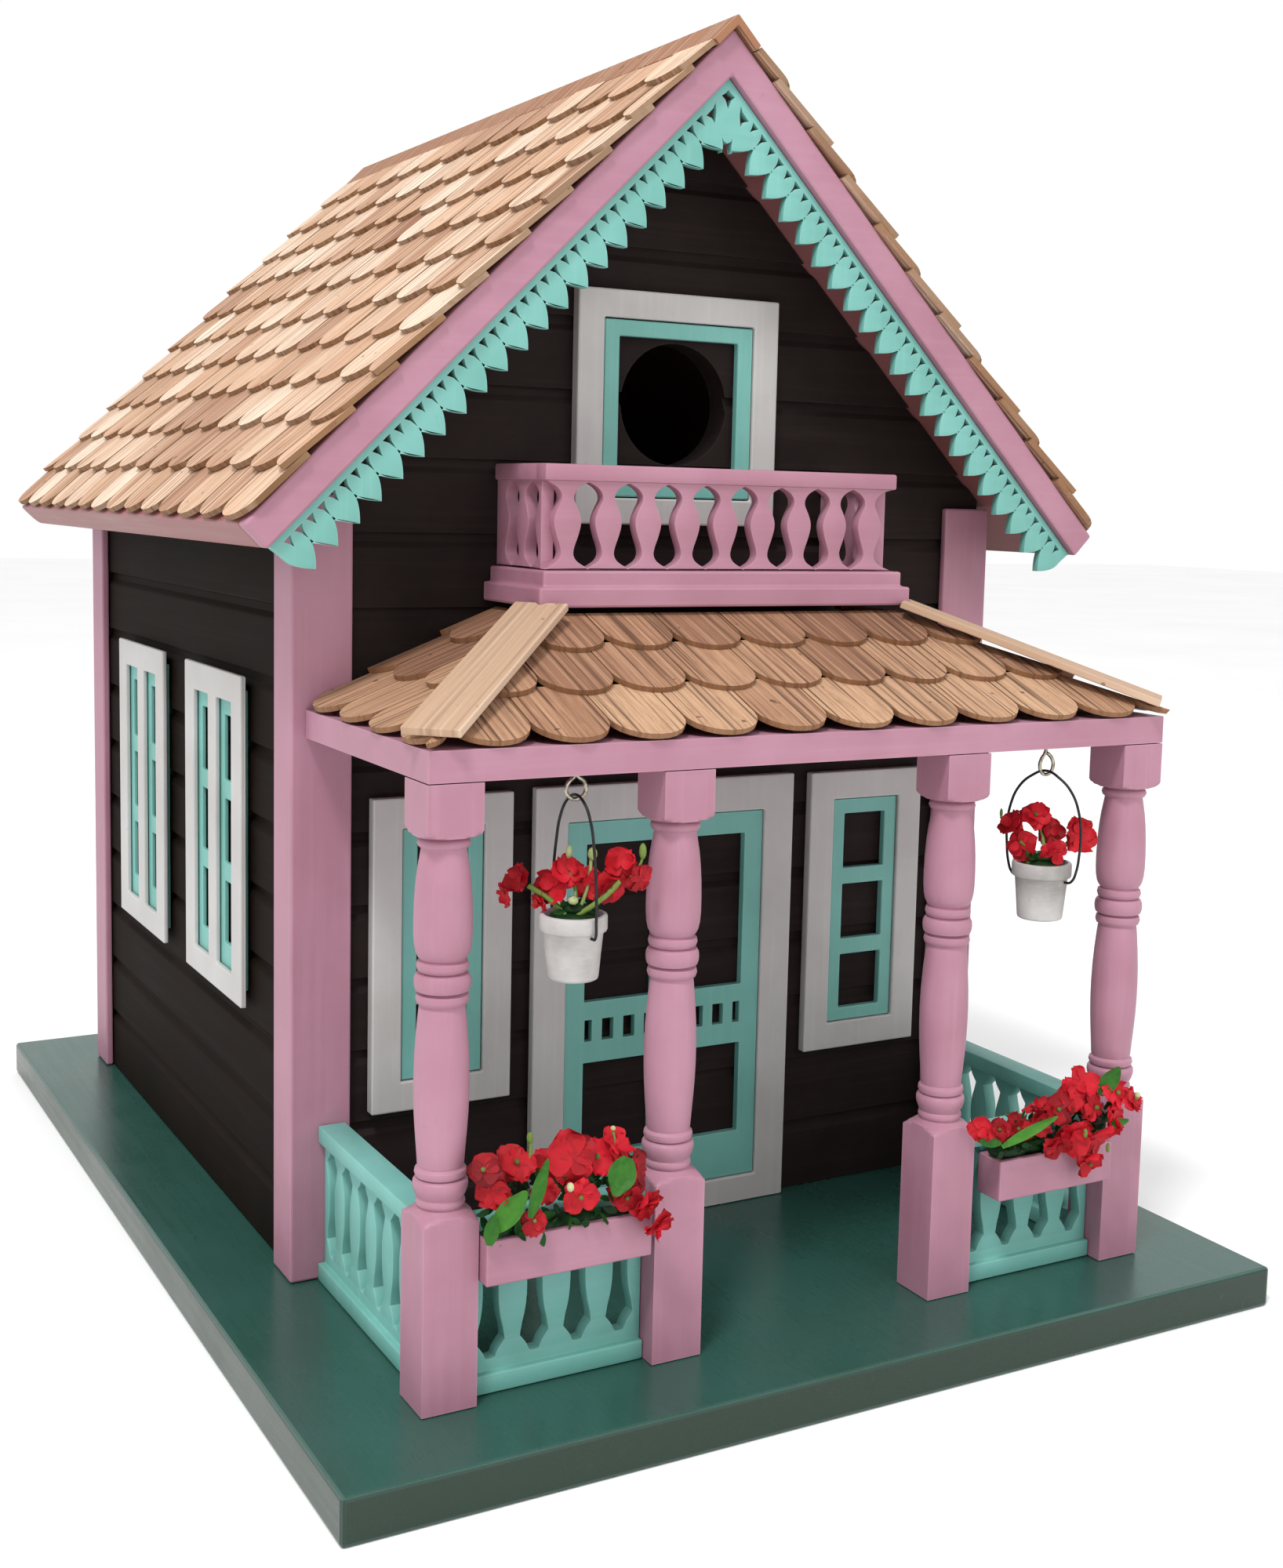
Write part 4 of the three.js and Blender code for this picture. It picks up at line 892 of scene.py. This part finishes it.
def oval_leaf_into(bm, foot, tip, width, tint):
    """A single broad leaf from its foot to its tip, its face turned towards the front."""
    foot, tip = Vector(foot), Vector(tip)
    along = (tip - foot).normalized()
    face = Vector((-0.45, -1, 0.3))
    outward = (face - along * face.dot(along)).normalized()
    start = outward.orthogonal().normalized()
    spin = math.atan2(outward.dot(start.cross(along)), start.dot(along))
    petal_into(bm, foot, outward, spin, (tip - foot).length, width, 0.06, tint, FOLIAGE)


def core_into(bm, centre, radii):
    """Foliage deep inside a bush, in the darkest leaf colour as painted shade."""
    before = len(bm.verts)
    # Tint 0 gives the darkest leaf colour: painted shade.
    ball_into(bm, Vector((0, 0, 0)), 1, 0.0, FOLIAGE)
    bm.verts.ensure_lookup_table()
    for v in bm.verts[before:]:
        v.co = Vector([c * MM + o * r for c, o, r in zip(centre, v.co, radii)])


def bush(name, body, node, seed, flowers, broad=(), cores=(), stems=(), buds=(), small_leaves=(0, ())):
    """One bouquet as a single piece.

    flowers: (place, facing, size); broad leaves: (foot, tip, width, tint); cores: (place, radii);
    stems: (foot, tip, radius); buds: (place, size, tint, stretch); small_leaves: (count, (low, high)).
    """
    rng = random.Random(seed)
    bm = new_tinted()
    for centre, radii in cores:
        core_into(bm, centre, radii)
    for foot, tip, width, tint in broad:
        oval_leaf_into(bm, foot, tip, width, tint)
    for foot, tip, radius in stems:
        stalk_into(bm, Vector(foot), Vector(tip), radius, rng.uniform(0.2, 0.6))
    for place, size, tint, stretch in buds:
        ball_into(bm, Vector(place), size, tint, GREEN, stretch)
    count, (low, high) = small_leaves
    for _ in range(count):
        spot = Vector([rng.uniform(a, b) for a, b in zip(low, high)])
        outward = Vector((rng.uniform(-0.8, 0.8), -1, rng.uniform(-0.3, 0.9)))
        leaf_into(bm, rng, spot, outward, rng.uniform(2.5, 4.5))
    for place, facing, size in flowers:
        blossom_into(bm, rng, Vector(place), Vector(facing), size)
    piece = put(name, bm, [RED, LEAF, STEM], body=body, sharp=70)
    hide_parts(node)


LEFT_BOX = dict(
    flowers=[((-107, -181, 78), (-0.5, -1, 0.5), 5), ((-97.5, -180, 78), (0, -1, 0.7), 5.6),
             ((-104.5, -181, 71.5), (-0.7, -1, 0.1), 5), ((-94, -184, 63.5), (-0.2, -1, 0.2), 4),
             ((-82, -181.5, 77.5), (-0.4, -1, 0.3), 7.4), ((-89.5, -182, 69.5), (-0.4, -1, -0.2), 4.2),
             ((-80.5, -183.5, 67.5), (-0.3, -1, -0.2), 5), ((-74.5, -180, 76), (0.1, -1, 0.5), 6.2),
             ((-67.5, -180, 78.5), (0.3, -1, 0.6), 5), ((-62, -181, 70.5), (0.5, -1, 0.2), 6),
             ((-66.5, -182.5, 64.5), (-0.2, -1, 0), 4.8), ((-60.5, -184, 62), (0.4, -1, -0.4), 5.2),
             ((-57.8, -185, 56), (0.3, -1, -0.7), 4.6), ((-87, -178, 76), (0, -1, 0.9), 5),
             ((-76, -176, 74), (0.1, -0.4, 1), 5), ((-95, -176, 74), (-0.2, -0.3, 1), 5)],
    broad=[((-104.8, -183, 62), (-96.8, -185.5, 72.3), 6.2, 0.75),
           ((-106, -183, 58.5), (-105, -184, 67), 4, 0.6),
           ((-95.3, -184.5, 64.5), (-91, -185.5, 80), 3.6, 0.65),
           ((-67, -184, 76), (-72, -186.5, 67), 7.6, 0.6)],
    cores=[((-83, -176.4, 58), (21, 3.4, 3)), ((-98, -176.4, 57), (7.5, 3.8, 2.5)),
           ((-68, -176.4, 57), (7.5, 3.8, 2.5))],
    stems=[((-95, -178, 72), (-93.6, -180, 84), 0.5), ((-70, -178, 74), (-69.5, -180, 82), 0.4)],
    buds=[((-93.6, -180, 84), 0.9, 0.3, 1.8), ((-69.5, -180, 83), 0.7, 0.8, 1),
          ((-84, -184.5, 70.8), 1, 1, 1.3)],
    small_leaves=(120, ((-105, -181, 58), (-60, -176, 73))))
RIGHT_BOX = dict(
    flowers=[((51.5, -182.5, 65.5), (-0.6, -1, 0.2), 4), ((59.5, -181.5, 64), (-0.4, -1, 0.3), 4.2),
             ((67, -181, 63), (-0.2, -1, 0.4), 4.8), ((75.5, -181, 64), (0, -1, 0), 5),
             ((82, -181.5, 67), (-0.2, -1, 0.3), 5.8), ((88, -181, 71), (-0.2, -1, 0.4), 5.4),
             ((93, -180, 74), (-0.1, -1, 0.7), 4.8), ((96, -182.5, 66), (0.1, -1, 0.1), 6),
             ((104, -183, 69.5), (0.4, -1, 0.4), 5.6), ((87, -184, 59), (-0.2, -1, -0.2), 6.2),
             ((96.5, -184.5, 56), (0.1, -1, -0.4), 6.2), ((103, -184, 61), (0.4, -1, 0.1), 5),
             ((80, -184.5, 56), (-0.2, -1, -0.4), 4.6), ((92, -185.5, 50), (0, -1, -0.6), 4.8),
             ((111, -183.5, 67), (0.7, -1, 0.2), 4.4), ((80, -176.5, 66), (0, -0.3, 1), 5),
             ((98, -176.5, 69), (0.2, -0.3, 1), 5)],
    broad=[((59, -184, 59.5), (77.5, -186.5, 67), 3.2, 0.8), ((50.5, -184, 62.5), (58, -185, 61), 3, 0.55),
           ((99, -181, 69), (104, -184, 78), 5.6, 0.6), ((100, -184.5, 60), (107, -186, 61.5), 2.6, 0.6)],
    cores=[((83, -176.4, 55.5), (21, 3.4, 3)), ((68, -176.4, 55), (7.5, 3.8, 2.5)),
           ((98, -176.4, 55), (7.5, 3.8, 2.5))],
    stems=[((86, -178, 59), (89, -184, 60), 0.4)],
    buds=[((89, -186.5, 60), 0.7, 0.4, 2.2), ((97.5, -187.5, 54.5), 0.6, 0.4, 2.6),
          ((112, -184, 68), 0.9, 0.9, 1)],
    small_leaves=(110, ((62, -181, 56), (106, -176, 66))))


# ---- pots and wires
def wire(name, body, points, radius, material, node):
    curve = bpy.data.curves.new(name, "CURVE")
    curve.dimensions = "3D"
    curve.bevel_depth = radius * MM
    curve.bevel_resolution = 3
    curve.use_fill_caps = True
    spline = curve.splines.new("BEZIER")
    spline.bezier_points.add(len(points) - 1)
    for knot, point in zip(spline.bezier_points, points):
        knot.co = Vector(point) * MM
        knot.handle_left_type = "AUTO"
        knot.handle_right_type = "AUTO"
    spline.resolution_u = 6
    piece = bpy.data.objects.new(name, curve)
    bpy.context.scene.collection.objects.link(piece)
    curve.materials.append(material)
    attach(piece, body)
    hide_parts(node)


EYES = {
    "left": [(-0.4, 181), (-0.5, 176.4), (-0.7, 175.4), (-2.2, 174.1), (-2.95, 172.2), (-2.1, 170.3),
             (0, 169.5), (2.1, 170.3), (2.95, 172.2), (2.3, 174), (0.8, 175.2), (-0.2, 175.9)],
    "right": [(-0.4, 181), (-0.5, 175.2), (-0.9, 174.2), (-2.1, 172.6), (-2.6, 170.6), (-1.8, 168.6),
              (0, 167.85), (1.8, 168.6), (2.6, 170.6), (2.1, 172.5), (0.9, 173.8), (-0.2, 174.5)],
}
BAILS = {
    "left": [(9.2, 133.8), (9.8, 134.8), (9.85, 138), (9.8, 142), (9.4, 149), (8.4, 157), (6.6, 164.4),
             (3.6, 169)],
    "right": [(9.2, 135.8), (10.4, 136.6), (11.6, 139.5), (12.4, 145), (12.6, 151), (11.6, 157.5),
              (9, 163.2), (4.6, 167.2)],
}
POT = [(0.2, 0), (6.3, 0), (6.7, 0.25), (6.85, 0.8), (7.4, 7), (7.95, 12.6), (8.2, 12.9), (8.8, 13.1),
       (9, 13.5), (9, 16.6), (8.85, 17.2), (8.5, 17.4), (7.9, 17.4), (7.6, 17.1), (7.4, 15), (7, 12), (6, 4),
       (5.8, 3), (0.2, 3)]
POT_Y = -169.5
POT_RIM = 17.4
POT_PIN = 12
# Bouquets are placed from the middle of the pot's rim, as (across, up, out) for the usual viewer.
LEFT_POT = dict(
    flowers=[((-15, 9), (-0.5, 0.3, 0.9), 4.2), ((-18, 4.5), (-1, -0.4, 0.5), 3.4),
             ((-5.5, 7), (-0.5, 0.3, 1), 5.4), ((-1, 11), (0, 0.8, 1), 4.8), ((4, 8), (0.2, 0, 1), 4.4),
             ((12, 13, -2.5), (0.2, 0.4, 1), 5.6), ((9, 7), (0.4, -0.3, 1), 4.4),
             ((17.5, 9.5), (0.8, -0.2, 0.8), 4.8), ((-9, 3), (-0.8, -0.4, 0.5), 3.2)],
    stems=[((-2, 0, 3), (-12, 7), 0.75), ((1, 0, 3), (12, 9, 1), 0.75), ((0, 0, 2), (-1, 11), 0.5),
           ((1, 0, 2), (4.2, 15, -2), 0.5), ((14, 9), (18, 17), 0.35), ((0, 0, 3), (-1.5, 15.5, -2), 0.35)],
    buds=[((-1.6, 16, -1.5), 0.9, 0.8, 2.2), ((4.6, 15.6, -1.5), 1.3, 0.65, 1.4),
          ((0, 4.2, 4), 1.4, 0.8, 0.8), ((17.8, 17, 0.5), 1, 0.4, 2.2)])
RIGHT_POT = dict(
    flowers=[((-9.5, 12), (-0.8, 0.5, 0.7), 4.4), ((-7, 5), (-0.6, -0.2, 1), 5),
             ((-2.5, 14), (-0.1, 0.7, 1), 5), ((2, 9), (0.1, 0.3, 1), 4.8), ((2.5, 3, 4), (0.1, -0.3, 1), 5),
             ((10, 9), (0.6, 0.2, 1), 6)],
    stems=[((0, 0, 2), (-7, 6), 0.6), ((0, 0, 2), (-2, 12), 0.6), ((0, 0, 2), (9, 8), 0.6)],
    buds=[((-13, 14.5), 0.5, 0.3, 3)])


def hanging_pot(side, x, bottom, angle, eye_bottom, bouquet, seed):
    """A screw eye, a bail, a turned pot and its bouquet, the bail's plane turned by the angle."""
    turn = math.radians(angle)
    along = Vector((math.cos(turn), math.sin(turn), 0))
    middle = Vector((x, POT_Y, 0))
    hinge = bottom + POT_PIN
    eye = [(x + dx, POT_Y, z) for dx, z in EYES[side]]
    wire(f"{side}_eye_wire", "house", eye, 0.55, NICKEL, f"{side}_screw_eye")
    half = [(6.5, hinge), (8.4, hinge)] + BAILS[side]
    points = [middle + along * u + Vector((0, 0, z)) for u, z in half]
    points.append(middle + Vector((0, 0, eye_bottom + 1.15)))
    points += [middle - along * u + Vector((0, 0, z)) for u, z in reversed(half)]
    wire(f"{side}_bail_wire", f"{side}_bail", points, 0.4, BLACK_WIRE, f"{side}_pot_bail")
    bm = bmesh.new()
    lathe_into(bm, [(r, h + bottom) for r, h in POT], 48, (x, POT_Y))
    piece = put(f"{side}_pot_turning", bm, POT_WHITE, body=f"{side}_pot", sharp=45)
    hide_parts(f"{side}_pot")
    rim = middle + Vector((0, 0, bottom + POT_RIM))
    sideways = Vector((0.871, -0.491, 0))
    nearer = Vector((-0.491, -0.871, 0))

    def facing(across, up, out):
        return tuple(sideways * across + Vector((0, 0, up)) + nearer * out)

    def at(across, up, out=0):
        return tuple(rim + sideways * across + nearer * out + Vector((0, 0, up)))
    bush(f"{side}_pot_bouquet", f"{side}_pot", f"{side}_pot_flowers", seed,
         [(at(*place), facing(*outward), size) for place, outward, size in bouquet["flowers"]],
         cores=[(at(0, -1.4), (6.8, 6.8, 2.4)), (at(0, 1.4), (4, 4, 1.8))],
         stems=[(at(*foot), at(*tip), radius) for foot, tip, radius in bouquet["stems"]],
         buds=[(at(*place), size, tint, stretch) for place, size, tint, stretch in bouquet["buds"]],
         small_leaves=(10, (at(-5, -0.5, 4), at(5, 2.5, -4))))


# ---- the rest of the house
COATS = (
    (("base_plate",), BASE_GREEN, 0.0011),
    (("front_wall", "back_wall"), SIDING_X, 0.0004),
    (("left_wall", "right_wall"), SIDING_Y, 0.0004),
    (("clean_out_hatch",), SIDING_X, 0.0006),
    (("front_bargeboard",), PINK_X, 0.0008),
    (("roof_panel",), PINK_ROOF_SHADED, 0.0008),
    (("porch_ceiling_board",), PINK_X, 0.0009),
    (("balcony_floor",), PINK_X, 0.0007),
    (("turn_button", "flower_box"), PINK_X, 0.0005),
    (("corner_post",), PINK_Z, 0.0007),
    (("ridge_cap",), CEDAR_ROOF, 0.0003),
    (("left_hip_board",), CEDAR_LEFT_HIP, 0.0003),
    (("right_hip_board",), CEDAR_RIGHT_HIP, 0.0003),
    (("door_frame", "attic_window_frame"), WHITE, 0.0006),
    (("window_frame",), WHITE, 0.0005),
    (("attic_window_sash",), MINT_Z, 0.0005),
    (("screen_door", "window_sash"), MINT_Z, 0.0004),
)


def dress_cad_nodes():
    """Paint and softened edges for the solids that stay as they are, by the end of their names."""
    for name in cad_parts:
        for endings, paint, width in COATS:
            if name.endswith(endings):
                tidy_node(name, paint, width)
                break


def build_pieces():
    main_roof(-1)
    main_roof(1)
    porch_shingles()
    gable_trim()
    inner = INNER_COLUMN_X + COLUMN_HALF + RAILING_GAP
    outer = OUTER_COLUMN_X - COLUMN_HALF - RAILING_GAP
    porch_railing("front_left_railing", True, -outer, -inner, -167.9, 4)
    porch_railing("front_right_railing", True, inner, outer, -167.9, 4)
    porch_railing("left_side_railing", False, -161.365, -83.3, -113, 6)
    porch_railing("right_side_railing", False, -161.365, -83.3, 113, 6)
    balcony_railing()
    column("outer_left_column", -OUTER_COLUMN_X)
    column("inner_left_column", -INNER_COLUMN_X)
    column("inner_right_column", INNER_COLUMN_X)
    column("outer_right_column", OUTER_COLUMN_X)
    bush("left_box_blossom", "house", "left_box_flowers", 5, **LEFT_BOX)
    bush("right_box_blossom", "house", "right_box_flowers", 6, **RIGHT_BOX)
    hanging_pot("left", -77, 121.8, -80, 169.5, LEFT_POT, 71)
    hanging_pot("right", 81.8, 123.8, -70, 167.85, RIGHT_POT, 83)


# ---- studio
def make_camera():
    yaw, pitch, roll = math.radians(29.39), math.radians(6.37), math.radians(1.37)
    forward = Vector((math.sin(yaw) * math.cos(pitch), math.cos(yaw) * math.cos(pitch), -math.sin(pitch)))
    right = Vector((math.cos(yaw), -math.sin(yaw), 0))
    up = right.cross(forward)
    tilted_right = right * math.cos(roll) + up * math.sin(roll)
    tilted_up = up * math.cos(roll) - right * math.sin(roll)
    data = bpy.data.cameras.new("camera")
    data.sensor_fit = "VERTICAL"
    data.sensor_height = 36
    data.sensor_width = 36
    data.lens = 42.87
    data.shift_x = -0.0153
    data.shift_y = -0.0479
    data.clip_start = 0.01
    data.clip_end = 20
    camera = bpy.data.objects.new("camera", data)
    bpy.context.scene.collection.objects.link(camera)
    turn = Matrix((tilted_right, tilted_up, -forward)).transposed().to_4x4()
    turn.translation = Vector((-0.29346, -0.60033, 0.24749))
    camera.matrix_world = turn
    bpy.context.scene.camera = camera


def area_light(name, place, target, size, power):
    data = bpy.data.lights.new(name, "AREA")
    data.size = size
    data.energy = power
    light = bpy.data.objects.new(name, data)
    bpy.context.scene.collection.objects.link(light)
    light.location = place
    light.rotation_euler = (Vector(target) - Vector(place)).to_track_quat("-Z", "Y").to_euler()


def make_studio():
    bm = bmesh.new()
    bmesh.ops.create_grid(bm, x_segments=1, y_segments=1, size=6)
    mesh = bpy.data.meshes.new("floor")
    bm.to_mesh(mesh)
    bm.free()
    floor = bpy.data.objects.new("floor", mesh)
    bpy.context.scene.collection.objects.link(floor)
    s = Shader("floor")
    shade = s.noise(s.place(), 3, 2)
    colour = s.mix(s.ramp(shade, 0.3, 0.7), linear(246, 246, 246), linear(250, 250, 250))
    mesh.materials.append(s.finish(colour, s.ramp(shade, 0.3, 0.7, 0.9, 1.0)))
    world = bpy.data.worlds.new("studio")
    world.use_nodes = True
    world.node_tree.nodes["Background"].inputs["Color"].default_value = (1, 1, 1, 1)
    world.node_tree.nodes["Background"].inputs["Strength"].default_value = 1.0
    bpy.context.scene.world = world
    bpy.context.scene.view_settings.view_transform = "Standard"
    area_light("key", (-0.75, -0.75, 1.7), (0, -0.05, 0.15), 0.3, 20)
    area_light("fill", (0.4, -1.7, 0.9), (0, 0, 0.15), 1.2, 3)


make_camera()
make_studio()
dress_cad_nodes()
build_pieces()
bpy.context.view_layer.update()
